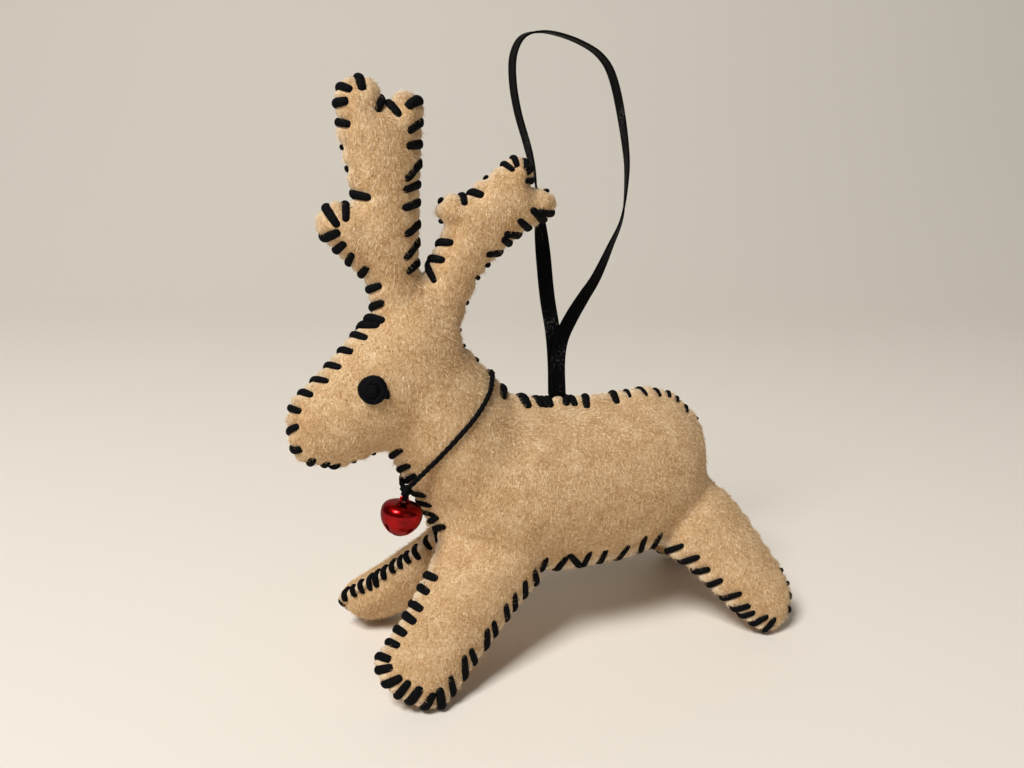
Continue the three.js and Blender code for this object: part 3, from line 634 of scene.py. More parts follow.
# %% Stitch runs
# Place on the seam, first and last (x, z), count, reach, lean along the seam, thread width
STITCH_RUNS = {
    "top": [
        ("breast", (-22.0, 25.8), (-23.3, 27.3), 2, 3.6, 0.2, 1.4),
        ("chest", (-24.4, 29.6), (-26.4, 33.6), 3, 2.8, -0.2, 1.2),
        ("throat", (-27.6, 36.2), (-30.4, 41.2), 3, 3.6, 0.2, 1.3),
        ("under the chin", (-40.8, 40.7), (-42.3, 41.1), 2, 2.0, -0.3, 1.4),
        ("lip", (-44.6, 41.7), (-47.6, 45.0), 2, 3.0, 0.2, 1.6),
        ("nose", (-48.0, 48.5), (-47.5, 52.5), 2, 3.1, 0.3, 1.3),
        ("face", (-45.5, 55.0), (-36.0, 64.0), 5, 2.8, 0.4, 1.2),
        ("brow", (-34.5, 65.5), (-32.5, 68.5), 3, 3.3, 0.4, 1.5),
        ("front antler, foot", (-33.5, 71.5), (-38.4, 78.6), 4, 2.9, 0.2, 1.4),
        ("front antler, tine", (-40.6, 81.0), (-39.8, 86.0), 2, 4.4, -0.1, 1.6),
        ("front antler, over the tine", (-36.4, 86.4), (-35.0, 88.2), 2, 3.8, -0.2, 1.5),
        ("front antler, upper tip", (-37.1, 99.3), (-36.7, 105.0), 3, 3.0, 0.1, 1.5),
        ("front antler, top", (-33.3, 106.6), (-33.3, 106.6), 1, 3.6, 0.1, 1.7),
        ("front antler, notch", (-29.4, 103.1), (-28.6, 102.5), 2, 3.5, 0.0, 1.6),
        ("front antler, rear tip", (-23.3, 102.9), (-23.3, 102.9), 1, 4.6, -0.3, 1.8),
        ("front antler, rear edge", (-22.9, 99.4), (-24.1, 76.0), 8, 5.0, 0.2, 1.6),
        ("fork", (-22.5, 75.5), (-22.5, 75.5), 1, 3.0, -0.8, 1.4),
        ("rear antler, front edge", (-22.0, 76.4), (-20.5, 79.4), 2, 2.8, 0.2, 1.4),
        ("rear antler, tine", (-16.0, 87.0), (-14.0, 87.5), 2, 3.1, 0.1, 1.5),
        ("rear antler, upper tip", (-8.2, 92.3), (-2.5, 89.0), 5, 2.8, 0.0, 1.2),
        ("rear antler, under edge", (1.4, 83.2), (-8.8, 76.6), 6, 5.0, 0.4, 1.5),
        ("rear antler, foot", (-11.2, 74.9), (-13.6, 72.4), 2, 1.6, 0.3, 1.0),
        ("nape", (-16.5, 63.5), (-16.0, 60.5), 2, 1.0, -0.3, 0.8),
        ("withers", (-8.2, 52.0), (-4.6, 49.8), 2, 3.2, 0.2, 2.3),
        ("back", (8.5, 48.0), (14.5, 48.0), 2, 3.1, -0.2, 1.5),
        ("loin", (17.5, 48.5), (24.5, 48.0), 3, 2.1, 0.2, 0.9),
        ("croup", (27.0, 47.0), (31.5, 43.5), 3, 1.9, -0.1, 0.9),
    ],
    "left": [
        ("front leg, front edge", (-25.5, 18.8), (-37.5, 7.5), 8, 3.0, 0.15, 1.6),
        ("front foot", (-37.0, 5.2), (-28.0, 1.0), 5, 3.6, 0.1, 1.7),
        ("front leg, rear edge", (-25.3, 2.3), (-12.5, 11.3), 6, 3.6, 0.35, 1.5),
        ("belly, front", (-10.5, 12.5), (-0.5, 16.5), 5, 3.3, 0.4, 1.5),
        ("belly, crossed stitches", (4.2, 16.5), (4.2, 16.5), 1, 3.4, -0.6, 1.3),
        ("belly", (5.2, 16.5), (13.0, 17.0), 3, 2.9, 0.4, 1.4),
        ("hind leg, front edge", (17.5, 17.5), (34.0, 5.5), 8, 3.3, 0.3, 1.4),
        ("hind foot", (35.5, 4.0), (40.0, 1.0), 3, 3.0, 0.3, 1.4),
        ("hind leg, rear edge", (46.3, 3.4), (46.3, 10.4), 4, 1.5, 0.3, 1.1),
    ],
    "right": [
        ("breast", (-22.0, 25.0), (-23.5, 22.5), 2, 2.4, 0.0, 1.3),
        ("front leg, front edge", (-24.8, 20.0), (-37.0, 9.0), 10, 2.2, 0.3, 1.3),
    ],
}
print("runs", {name: len(runs) for name, runs in STITCH_RUNS.items()})

# %% Place the stitches along each seam
STITCH_PITCH = 3.4
ROOM_NEEDED = 0.9
PLACE_SLIP = 0.25
LEAN_SLIP = 0.2
REACH_SPREAD = (0.85, 1.15)
WIDTH_SPREAD = (0.9, 1.1)
HIDDEN_NEAR = {"top": 0.15, "left": 0.0, "right": 0.0}
HIDDEN_LEAN = (0.1, 0.5)
HIDDEN_WIDTH = (0.9, 1.2)
FAR_REACH = {"top": (2.2, 3.2), "left": (2.2, 3.2), "right": (1.3, 2.0)}
RIBBON_CLEAR = 5.0
rng = np.random.default_rng(20)


def listed_stitches(name, line, run):
    """The stitches of a seam's runs, each a little uneven, as (distance, near, far, lean, width)."""
    made = []
    for _, first, last, count, reach, lean, width in STITCH_RUNS[name]:
        ends = [run[np.hypot(line[:, 0] - x, line[:, 2] - z).argmin()] for x, z in (first, last)]
        for where in np.linspace(*ends, count):
            made.append((where + rng.uniform(-PLACE_SLIP, PLACE_SLIP), reach * rng.uniform(*REACH_SPREAD),
                         rng.uniform(*FAR_REACH[name]), lean + rng.uniform(-LEAN_SLIP, LEAN_SLIP),
                         width * rng.uniform(*WIDTH_SPREAD)))
    return sorted(made)


def hidden_stitches(name, listed, line, run):
    """Stitches on the far side, in the stretches where the near side shows none."""
    made = []
    stops = [0.0] + [stitch[0] for stitch in listed] + [run[-1]]
    for before, after in zip(stops, stops[1:]):
        extra = int((after - before) / STITCH_PITCH - ROOM_NEEDED)
        for k in range(max(extra, 0)):
            where = before + (after - before) * (k + 1) / (extra + 1)
            point = line[np.abs(run - where).argmin()]
            if np.linalg.norm(point - RIBBON_FOOT) < RIBBON_CLEAR:
                continue
            whole = name == "right" and before == stops[-2]
            near = rng.uniform(*FAR_REACH[name]) if whole else HIDDEN_NEAR[name]
            made.append((where, near, rng.uniform(*FAR_REACH[name]), rng.uniform(*HIDDEN_LEAN),
                         rng.uniform(*HIDDEN_WIDTH)))
    return made


stitch_plan = {}
for name, chain in seam_points.items():
    line = body_points[chain]
    run = gone_along(line)
    listed = listed_stitches(name, line, run)
    both_sides = sorted(listed + hidden_stitches(name, listed, line, run))
    stitch_plan[name] = [(int(np.abs(run - where).argmin()), *rest) for where, *rest in both_sides]
print("stitches", {name: len(plan) for name, plan in stitch_plan.items()})

# %% Walk each stitch over the edge
WALK_STEPS = 8
OFF_EDGE = 1
THREAD_LIFT = -0.02
TUCKED_END = -0.55
TUCKED_NEXT = -0.15
SEAM_SPAN = 4
body_normals = mesh_normals(body_points, body_faces)
body_tree = BVHTree.FromPolygons([Vector(p) for p in body_points], body_faces)


def walk(start, way, length):
    """Steps along the skin from a start, bending with it. Gives the points and their normals."""
    points = [Vector(start)]
    normals = [body_tree.find_nearest(points[0])[1]]
    way = Vector(way).normalized()
    for _ in range(WALK_STEPS):
        found, normal, _, _ = body_tree.find_nearest(points[-1] + way * (length / WALK_STEPS))
        step = found - points[-1]
        step -= normal * step.dot(normal)
        if step.length > 1e-6:
            way = step.normalized()
        points.append(found)
        normals.append(normal)
    return np.array(points), np.array(normals)


def toward_near(name, point, way):
    """Whether a way across the seam leads to the side that the runs describe."""
    if name == "top":
        return way[1] < 0
    ahead, behind = gusset_depth(np.array([point + way, point - way]))
    return (ahead > behind) == (name == "left")


def stitch_path(name, at, near, far, lean):
    """A stitch over a seam, tucked into the felt at both ends, and the felt's normals under it."""
    chain = seam_points[name]
    point = body_points[chain[at]]
    low, high = max(at - SEAM_SPAN, 0), min(at + SEAM_SPAN, len(chain) - 1)
    along = unit(body_points[chain[high]] - body_points[chain[low]])
    out = unit(body_normals[chain[low:high + 1]].mean(0))
    across = unit(np.cross(along, out))
    if not toward_near(name, point, across):
        across = -across
    slanted = unit(across + lean * along)
    stretch = math.sqrt(1 + lean * lean)
    far_points, far_normals = walk(point, -slanted, far * stretch)
    if near:
        near_points, near_normals = walk(point, slanted, near * stretch)
        points = np.vstack([far_points[:0:-1], near_points])
        normals = np.vstack([far_normals[:0:-1], near_normals])
    else:
        points = far_points[:OFF_EDGE:-1]
        normals = far_normals[:OFF_EDGE:-1]
    lift = np.full(len(points), THREAD_LIFT)
    lift[[0, -1]] = TUCKED_END
    lift[[1, -2]] = TUCKED_NEXT
    return points + normals * lift[:, None], normals


stitches = []
for name, plan in stitch_plan.items():
    for at, near, far, lean, width in plan:
        path, normals = stitch_path(name, at, near, far, lean)
        path[:, 2] = np.maximum(path[:, 2], width / 2)
        stitches.append({"seam": name, "foot": body_points[seam_points[name][at]], "width": width,
                         "path": path, "up": normals})
print("walked", len(stitches), "stitches")

# %% Walk the tacks at the ribbon's foot
TACKS = {"ribbon_tack_front": (-1.5, -0.4, 0.7), "ribbon_tack_rear": (4.6, 5.7)}
TACK_REACH = (2.3, 2.2)
TACK_LEAN = (-0.2, 0.3)
BACK_BELOW = 60.0
top_line = body_points[seam_points["top"]]
off_back = np.where(top_line[:, 2] < BACK_BELOW, 0.0, np.inf)
tacks = {}
for node_name, places in TACKS.items():
    nearest = [int((np.abs(top_line[:, 0] - x) + off_back).argmin()) for x in places]
    tacks[node_name] = [stitch_path("top", at, *TACK_REACH, rng.uniform(*TACK_LEAN)) for at in nearest]
print("tacks", {name: len(group) for name, group in tacks.items()})

# %% [markdown]
# ## Pulling the stitches tight
# A tight stitch bites into soft felt: it leaves a dent under itself, and the edge swells
# between one stitch and the next. Moving the points of the skin near each thread inwards, and
# the edge between them outwards, gives that scalloped outline as real shape. The two raw
# edges also meet in a fine groove along the seam.

# %% Dent the felt under the threads
DENT_DEPTH = 0.42
DENT_WIDTH = 0.8
SWELL = 0.15
GROOVE = 0.35
SOLE_HEIGHT = 0.3
SWELL_WIDTH = 1.6
SWELL_CLEAR = (0.7, 1.5)
RIM_WIDTH = 0.9
NAP_CLEAR = (0.7, 1.4)
samples = np.vstack([s["path"] for s in stitches] + [tack for group in tacks.values() for tack, _ in group])
thread_tree = tree_of(samples)
to_thread = np.array([thread_tree.find(p)[2] for p in body_points])
near_edge = np.exp(-(seam_distance(body_points) / SWELL_WIDTH) ** 2)
push = SWELL * near_edge * ramp(to_thread, *SWELL_CLEAR)
push -= DENT_DEPTH * np.exp(-(to_thread / DENT_WIDTH) ** 2)
on_seam = np.zeros(len(body_points), bool)
for chain in seam_points.values():
    on_seam[chain] = True
push[on_seam] -= GROOVE
body_points = body_points + body_normals * push[:, None]
body_points[:, 2] = np.maximum(body_points[:, 2], SOLE_HEIGHT)
# How near each point is to a seam, which sets the painted highlight along the raw edges.
rim = np.exp(-(seam_distance(body_points) / RIM_WIDTH) ** 2)
open_felt = ramp(to_thread, *NAP_CLEAR)
print("pushed", push.min().round(2), "to", push.max().round(2), "mm")

# %% Three felt pieces
FELT_THICK = 0.9


def mark(mesh, name, values, kind="FLOAT", field="value"):
    """Gives each point of a mesh a value of its own."""
    mesh.attributes.new(name, kind, "POINT").data.foreach_set(field, np.ravel(values))


def thicken(piece, thick):
    """Gives a surface its wall, on the inner side."""
    wall = piece.modifiers.new("wall", "SOLIDIFY")
    wall.thickness = thick * MM
    wall.offset = -1
    piece.data = evaluated_mesh(piece)
    piece.modifiers.clear()


def felt_surface(name, panel):
    """One panel as a surface, with how near each point is to its raw edge, and if no thread is near."""
    chosen = [f for f, p in zip(body_faces, panel_of) if p == panel]
    used = np.unique(np.concatenate([np.array(f) for f in chosen]))
    number = np.full(len(body_points), -1)
    number[used] = np.arange(len(used))
    mesh = mesh_of(name, body_points[used], [number[list(f)] for f in chosen])
    mark(mesh, "rim", rim[used])
    mark(mesh, "open", open_felt[used])
    return mesh


PANELS = {
    "left_side_felt": (LEFT, ("left_side_panel", "torso_stuffing", "neck_stuffing", "head_stuffing",
                              "front_antler_stuffing", "left_front_leg_stuffing", "left_hind_leg_stuffing")),
    "right_side_felt": (RIGHT, ("right_side_panel", "rear_antler_stuffing", "right_front_leg_stuffing",
                                "right_hind_leg_stuffing")),
    "belly_gusset_felt": (GUSSET, ("belly_gusset",)),
}
surfaces = {}
for piece_name, (panel, node_names) in PANELS.items():
    surfaces[piece_name] = felt_surface(piece_name + "_surface", panel)
    piece = new_piece(piece_name, surfaces[piece_name].copy(), felt)
    thicken(piece, FELT_THICK)
    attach(piece, "reindeer")
    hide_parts(*node_names)
    print(piece.name, len(piece.data.polygons), "faces")

# %% [markdown]
# ## The black thread
# Stranded cotton is two or three soft strands twisted together, matt, with a faint grey bloom
# where fibres stand out. A round tube would look like wire. So each stitch is swept with a
# flattened three-lobed section, and the eyes and the neck cord with one that turns as it goes,
# which gives the twist of the strands.

# %% Thread finish
FLUFF_SIZE = 0.25
FLUFF_RELIEF = 0.12


def cotton_finish(name, dark, light):
    finish, tree, shader = new_finish(name)
    fluff = noise(tree, FLUFF_SIZE, 3.0)
    colours = two_tone(tree, fluff, 0.35, dark, 0.8, light)
    raised = add(tree, "ShaderNodeBump", {"Height": fluff, "Strength": 0.7, "Distance": FLUFF_RELIEF * MM})
    fill(tree, shader, {"Base Color": colours.outputs[0], "Normal": raised.outputs[0], "Roughness": 0.75,
                        "Specular IOR Level": 0.06})
    return finish


floss = cotton_finish("black_stranded_cotton", "#060607", "#131315")
print("made", floss.name)

# %% Node tree: twisted thread along lines
def new_tree(name, sizes):
    """An empty geometry tree with a mesh in and out, and named inputs for its sizes."""
    tree = bpy.data.node_groups.new(name, "GeometryNodeTree")
    tree.interface.new_socket("Geometry", in_out="INPUT", socket_type="NodeSocketGeometry")
    tree.interface.new_socket("Geometry", in_out="OUTPUT", socket_type="NodeSocketGeometry")
    for label, kind in sizes.items():
        tree.interface.new_socket(label, in_out="INPUT", socket_type="NodeSocket" + kind)
    return tree, add(tree, "NodeGroupInput").outputs


def close_tree(tree, geometry, material):
    """Realizes the copies, gives them their finish and ends the tree."""
    real = add(tree, "GeometryNodeRealizeInstances", {0: geometry})
    done = add(tree, "GeometryNodeSetMaterial", {0: real.outputs[0], "Material": material})
    add(tree, "NodeGroupOutput", {0: done.outputs[0]})


def grown(name, mesh, tree, **sizes):
    """Runs a tree on a mesh and keeps the result as a plain mesh piece."""
    piece = new_piece(name, mesh)
    modifier = piece.modifiers.new("grow", "NODES")
    modifier.node_group = tree
    sockets = {item.name: item.identifier for item in tree.interface.items_tree if item.in_out == "INPUT"}
    for label, value in sizes.items():
        modifier[sockets[label]] = value
    made = evaluated_mesh(piece)
    bpy.data.objects.remove(piece)
    made.name = name
    return new_piece(name, made)


LOBES = 3
THREAD_SIDES = 12
LOBE_MIDDLE = 0.94
twist, given = new_tree("twisted_thread", {"Turns per metre": "Float", "Lobe depth": "Float",
                                           "Flatness": "Float", "Finish": "Material"})
line = add(twist, "GeometryNodeMeshToCurve", {0: given["Geometry"]})
along = add(twist, "GeometryNodeSplineParameter")
angle = maths(twist, "MULTIPLY", maths(twist, "MULTIPLY", along.outputs["Length"], given["Turns per metre"]),
              2 * math.pi)
up = add(twist, "GeometryNodeInputNamedAttribute", {"Name": "thread_up"}, data_type="FLOAT_VECTOR")
upright = add(twist, "GeometryNodeSetCurveNormal", {0: line.outputs[0], "Normal": up.outputs[0]}, mode="FREE")
tilted = add(twist, "GeometryNodeSetCurveTilt", {0: upright.outputs[0], "Tilt": angle})
width = add(twist, "GeometryNodeInputNamedAttribute", {"Name": "thread_radius"}, data_type="FLOAT")
ring = add(twist, "GeometryNodeCurvePrimitiveCircle", {"Resolution": THREAD_SIDES, "Radius": 1.0})
number = add(twist, "GeometryNodeInputIndex")
lobe = maths(twist, "MULTIPLY", number.outputs[0], 2 * math.pi * LOBES / THREAD_SIDES)
bulge = maths(twist, "MULTIPLY_ADD", maths(twist, "COSINE", lobe), given["Lobe depth"], LOBE_MIDDLE)
spot = add(twist, "GeometryNodeInputPosition")
clover = add(twist, "ShaderNodeVectorMath", {0: spot.outputs[0], "Scale": bulge}, operation="SCALE")
squash = add(twist, "ShaderNodeCombineXYZ", {"X": given["Flatness"], "Y": 1.0, "Z": 1.0})
pressed = add(twist, "ShaderNodeVectorMath", {0: clover.outputs[0], 1: squash.outputs[0]},
              operation="MULTIPLY")
section = add(twist, "GeometryNodeSetPosition", {0: ring.outputs[0], "Position": pressed.outputs[0]})
swept = add(twist, "GeometryNodeCurveToMesh",
            {"Curve": tilted.outputs[0], "Profile Curve": section.outputs[0], "Scale": width.outputs[0],
             "Fill Caps": True})
rounded = add(twist, "GeometryNodeSetShadeSmooth", {0: swept.outputs[0]})
close_tree(twist, rounded.outputs[0], given["Finish"])


def carried(path, first):
    """Carries a direction along a path without twisting it."""
    along = unit(np.gradient(path, axis=0))
    ups = [np.asarray(first, float)]
    for way in along:
        ups.append(unit(ups[-1] - way * np.dot(ups[-1], way)))
    return np.array(ups[1:])


def thread_piece(name, paths, ups, radii, **sizes):
    """Threads along several paths as one piece. Each point has its upward way and its radius."""
    edges, first = [], 0
    for path in paths:
        edges += [(first + i, first + i + 1) for i in range(len(path) - 1)]
        first += len(path)
    lines = bpy.data.meshes.new(name + "_lines")
    lines.from_pydata((np.vstack(paths) * MM).tolist(), edges, [])
    mark(lines, "thread_radius", np.concatenate(radii) * MM)
    mark(lines, "thread_up", np.vstack(ups), "FLOAT_VECTOR", "vector")
    return grown(name, lines, twist, **sizes)


print("tree", twist.name, len(twist.nodes), "nodes")

# %% Sew the stitches
THREAD_HALF = 0.52
BLUNT_START = 0.4
BLUNTNESS = 0.3
STITCH_TWIST = {"Turns per metre": 0.0, "Lobe depth": 0.05, "Flatness": 0.6, "Finish": floss}
THREADS = {
    "top": ("face_thread", "front_antler_thread", "rear_antler_thread", "back_thread", "rump_thread"),
    "left": ("left_front_leg_thread", "left_belly_thread", "left_hind_leg_thread"),
    "right": ("right_front_leg_thread", "right_belly_thread", "right_hind_leg_thread"),
}
thread_points = {n: points_of(frame["nodes"][n].data) for names in THREADS.values() for n in names}
sewn = {n: [] for n in thread_points}
for stitch in stitches:
    nearest = min(THREADS[stitch["seam"]],
                  key=lambda n: np.linalg.norm(thread_points[n] - stitch["foot"], axis=1).min())
    sewn[nearest].append(stitch)


def tapered(path):
    """How full the thread is along a stitch, with blunt ends."""
    return np.sin(np.linspace(BLUNT_START, math.pi - BLUNT_START, len(path))) ** BLUNTNESS


for node_name, group in sewn.items():
    piece = thread_piece(node_name.replace("thread", "stitches"), [s["path"] for s in group],
                         [s["up"] for s in group],
                         [tapered(s["path"]) * s["width"] * THREAD_HALF for s in group], **STITCH_TWIST)
    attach(piece, "reindeer")
    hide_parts(node_name)
    print(piece.name, len(group), "stitches", len(piece.data.polygons), "faces")

# %% [markdown]
# ## The eyes
# Each eye is a French knot: the thread is wound round the needle a few times and pulled down
# until the turns lie in a tight round coil, with the end tucked in beside it. A smooth ball
# would look like a bead, so the thread is wound here as well, from the end that sticks out,
# once round the outside, and then inwards and up over the middle.

# %% Wind the eye knots
ROUND_TWIST = {"Turns per metre": 90.0, "Lobe depth": 0.08, "Flatness": 1.0, "Finish": floss}
EYE_RING = 1.72
EYE_TAIL = 0.75
EYE_RISE = 0.95
EYE_THREAD = 0.8
EYE_TURNS = 2.7
EYE_STEPS = 120
EYE_LOW = 0.35
EYE_CLOSE = 1.3
TAIL_TURN = (0.0, 0.12)
CLOSING_TURNS = (0.95, 2.1)
EMERGING_TURN = (0.0, 0.1)
RISING_TURNS = (0.9, 1.6)
EYE_START = math.radians(-35)


def wound_knot(centre, out, side):
    """A coil that starts outside its ring, goes round it once and closes over the middle."""
    up = np.cross(out, side)
    gone = np.linspace(0, EYE_TURNS, EYE_STEPS)
    turn = EYE_START + 2 * math.pi * gone
    reach = EYE_RING + EYE_TAIL * (1 - ramp(gone, *TAIL_TURN)) - EYE_CLOSE * ramp(gone, *CLOSING_TURNS)
    height = EYE_LOW * ramp(gone, *EMERGING_TURN) + (EYE_RISE - EYE_LOW) * ramp(gone, *RISING_TURNS)
    return (centre + np.outer(reach * np.cos(turn), side) + np.outer(reach * np.sin(turn), up)
            + np.outer(height, out))


for side_name in ("left", "right"):
    corners = np.array(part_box(side_name + "_eye_knot")) / MM
    found, normal, _, _ = body_tree.find_nearest(Vector(corners.mean(0)))
    out = np.array(normal)
    side = unit(np.cross((0.0, 0.0, 1.0), out))
    path = wound_knot(np.array(found), out, side)
    eye = thread_piece(side_name + "_eye_french_knot", [path], [carried(path, out)],
                       [np.full(len(path), EYE_THREAD)], **ROUND_TWIST)
    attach(eye, "reindeer")
    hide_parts(side_name + "_eye_knot")
    print(eye.name, len(eye.data.polygons), "faces")

# %% [markdown]
# ## The nap
# Loose fibres lie on the felt and stand out round its edge: they give it the soft, slightly
# glittering outline. Hair strands would be the quick way, but they can't be kept as a mesh.
# So a node tree scatters fine tapered fibres over each panel, most of them combed downwards
# and close to the surface, and makes them real geometry. Real fibres are finer than a pixel,
# so these are drawn a little thicker and fewer than the real ones.

# %% Grow the nap
NAP_PER_MM2 = 8.0
NAP_LENGTH = 1.0
NAP_RADIUS = 0.032
COMB_WAY = (0.45, 0.0, -1.0)
SWIRL = 1.5
LAID_MOST, LAID_LEAST = -1.6, -0.85
SHORTEST, LONGEST = 0.45, 1.25
TUFT_AND_SPARKLE_SIZE = 0.55
nap_tree, given = new_tree("felt_nap", {"Density": "Float", "Length": "Float", "Radius": "Float",
                                        "Seed": "Int", "Finish": "Material"})
open_here = add(nap_tree, "GeometryNodeInputNamedAttribute", {"Name": "open"}, data_type="FLOAT")
thinned = maths(nap_tree, "MULTIPLY", given["Density"], open_here.outputs["Attribute"])
spots = add(nap_tree, "GeometryNodeDistributePointsOnFaces",
            {"Mesh": given["Geometry"], "Density": thinned, "Seed": given["Seed"]})
fibre = add(nap_tree, "GeometryNodeMeshCone",
            {"Vertices": 3, "Radius Top": 0.0, "Radius Bottom": given["Radius"], "Depth": given["Length"]},
            fill_type="NONE")
combed = add(nap_tree, "FunctionNodeAlignRotationToVector",
             {"Rotation": spots.outputs["Rotation"], "Vector": COMB_WAY}, axis="Y", pivot_axis="Z")
swirl = add(nap_tree, "FunctionNodeRandomValue", {2: -SWIRL, 3: SWIRL, "Seed": 3}, data_type="FLOAT")
laid = add(nap_tree, "FunctionNodeRandomValue", {2: LAID_MOST, 3: LAID_LEAST, "Seed": 4}, data_type="FLOAT")
spun = add(nap_tree, "ShaderNodeCombineXYZ", {"Z": swirl.outputs[1]})
tipped = add(nap_tree, "ShaderNodeCombineXYZ", {"X": laid.outputs[1]})
spun = add(nap_tree, "FunctionNodeEulerToRotation", {0: spun.outputs[0]})
tipped = add(nap_tree, "FunctionNodeEulerToRotation", {0: tipped.outputs[0]})
turned_round = add(nap_tree, "FunctionNodeRotateRotation", {0: combed.outputs[0], 1: spun.outputs[0]},
                   rotation_space="LOCAL")
turned_down = add(nap_tree, "FunctionNodeRotateRotation", {0: turned_round.outputs[0], 1: tipped.outputs[0]},
                  rotation_space="LOCAL")
sizes = add(nap_tree, "FunctionNodeRandomValue", {2: SHORTEST, 3: LONGEST, "Seed": 5}, data_type="FLOAT")
scattered = add(nap_tree, "GeometryNodeInstanceOnPoints",
                {"Points": spots.outputs["Points"], "Instance": fibre.outputs["Mesh"],
                 "Rotation": turned_down.outputs[0], "Scale": sizes.outputs[1]})
close_tree(nap_tree, scattered.outputs[0], given["Finish"])

nap_finish, tree, shader = new_finish("combed_cream_fibres")
# The fibres' tone varies at random in tufts, and the palest fibres are a painted sparkle, where fibres catch
# the light.
colours = two_tone(tree, noise(tree, TUFT_AND_SPARKLE_SIZE, 2.0), 0.36, "#b38854", 0.64, "#ffe4b6")
fill(tree, shader, {"Base Color": colours.outputs[0], "Roughness": 0.36, "Specular IOR Level": 0.6})
for seed, (piece_name, surface) in enumerate(surfaces.items()):
    nap = grown(piece_name.replace("felt", "nap"), surface, nap_tree,
                **{"Density": NAP_PER_MM2 / MM**2, "Length": NAP_LENGTH * MM, "Radius": NAP_RADIUS * MM,
                   "Seed": seed, "Finish": nap_finish})
    fibres = points_of(nap.data)
    fibres[:, 2] = np.maximum(fibres[:, 2], 0)
    nap.data.vertices.foreach_set("co", (fibres * MM).ravel())
    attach(nap, "reindeer")
    print(nap.name, len(nap.data.polygons), "faces")

# %% [markdown]
# ## The ribbon's weave and how it is sewn in
# The ribbon is woven polyester: fine cross ribs between two firmer selvedges, black with small
# glints where a rib catches the light, painted into its colour as grey specks. Its two ends are
# tucked between the felt sides and caught by a few heavy stitches on each side of its foot.

# %% Ribbon finish
RIB_SPACING = 0.55
RIB_RELIEF = 0.15
GLINT_SPACING = 0.45
GLINT_PATCHES_PER_MM = 0.12
satin, tree, shader = new_finish("black_woven_ribbon")
weave = add(tree, "ShaderNodeUVMap", uv_map="weave")
ribs = add(tree, "ShaderNodeTexWave", {"Vector": weave.outputs[0], "Scale": 1 / RIB_SPACING,
                                       "Distortion": 1.2, "Detail": 2.0}, bands_direction="X")
# Painted glints: grey specks, gathered in patches, painted into the black where ribs catch the light.
painted_glint = add(tree, "ShaderNodeTexNoise", {"Vector": weave.outputs[0], "Scale": 1 / GLINT_SPACING,
                                         "Detail": 2.0})
glint_patches = add(tree, "ShaderNodeTexNoise", {"Vector": weave.outputs[0], "Scale": GLINT_PATCHES_PER_MM, "Detail": 1.0})
glint_amount = maths(tree, "MULTIPLY", painted_glint.outputs[0], glint_patches.outputs[0])
colours = two_tone(tree, glint_amount, 0.33, "#050506", 0.47, "#5c5a59")
raised = add(tree, "ShaderNodeBump", {"Height": ribs.outputs["Fac"], "Strength": 0.6,
                                      "Distance": RIB_RELIEF * MM})
fill(tree, shader, {"Base Color": colours.outputs[0], "Normal": raised.outputs[0], "Roughness": 0.6,
                    "Specular IOR Level": 0.05})
ribbon.data.materials.append(satin)
print("made", satin.name)

# %% Ribbon ends in the seam
END_STEPS = 12
END_SIDE = 0.25
END_ABOVE = 0.6
ends_box = np.array(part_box("ribbon_tail")) / MM
both = bmesh.new()
for ply in (-END_SIDE, END_SIDE):
    line = np.tile((RIBBON_FOOT[0], ply, 0.0), (END_STEPS, 1))
    line[:, 2] = np.linspace(ends_box[0][2], RIBBON_FOOT[2] + END_ABOVE, END_STEPS)
    face_on = np.tile((1.0, 0.0, 0.0), (END_STEPS, 1))
    both.from_mesh(strip_mesh("ribbon_end", line, face_on, RIBBON_WIDTH, RIBBON_THICK))
ribbon_ends = new_piece("ribbon_ends", as_mesh("ribbon_ends", both), satin)
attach(ribbon_ends, "reindeer")
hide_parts("ribbon_tail")
print(ribbon_ends.name, len(ribbon_ends.data.polygons), "faces")

# %% Tack the ribbon down
TACK_WIDTH = 0.85
for node_name, group in tacks.items():
    paths = [path for path, _ in group]
    tack = thread_piece(node_name + "_stitches", paths, [up for _, up in group],
                        [tapered(p) * TACK_WIDTH for p in paths], **STITCH_TWIST)
    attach(tack, "reindeer")
    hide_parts(node_name)
    print(tack.name, len(tack.data.polygons), "faces")

# %% [markdown]
# ## The neck cord and its knot
# A thin twisted cord goes round the neck and is knotted at the throat, where the bell hangs.
# A taut cord takes the shortest way round, so rays find the neck's section from the nape to
# the knot, and the smallest convex line round that section and the knot is the cord's path.
# The neck widens downwards and lifts the cord's sides, so the section bows towards the head.
# Below the knot, two strands of the cord go through the bell's shank and carry it.

# %% Lay the cord round the neck
CORD_RADIUS = 0.48
CORD_NAPE = np.array((-10.9, 0.0, 54.6))
CORD_BOW = 1.5
CORD_STEPS = 150
CORD_TRIM = 0.4
CORD_ROUNDS = 6
CORD_REST = 0.8
OVER_SEAM = 0.7
SEAM_TURN = 0.12
RAY_START = 30.0
SECTION_RAYS = 160
CORD_TWIST = {"Turns per metre": 260.0, "Lobe depth": 0.13, "Flatness": 1.0}
JOINTS = {joint["name"]: joint for joint in frame["joints"]}
KNOT_AT = np.array(JOINTS["bell_sideways"]["pos_m"]) / MM
SIDEWAYS = np.array((0.0, 1.0, 0.0))


def convex_loop(points):
    """The corners of the smallest convex line round 2-D points, in order."""
    points = sorted(map(tuple, points))

    def half(run):
        kept = []
        for p in run:
            while len(kept) > 1 and ((kept[-1][0] - kept[-2][0]) * (p[1] - kept[-2][1])
                                     - (kept[-1][1] - kept[-2][1]) * (p[0] - kept[-2][0])) <= 0:
                kept.pop()
            kept.append(p)
        return kept[:-1]

    return np.array(half(points) + half(points[::-1]))


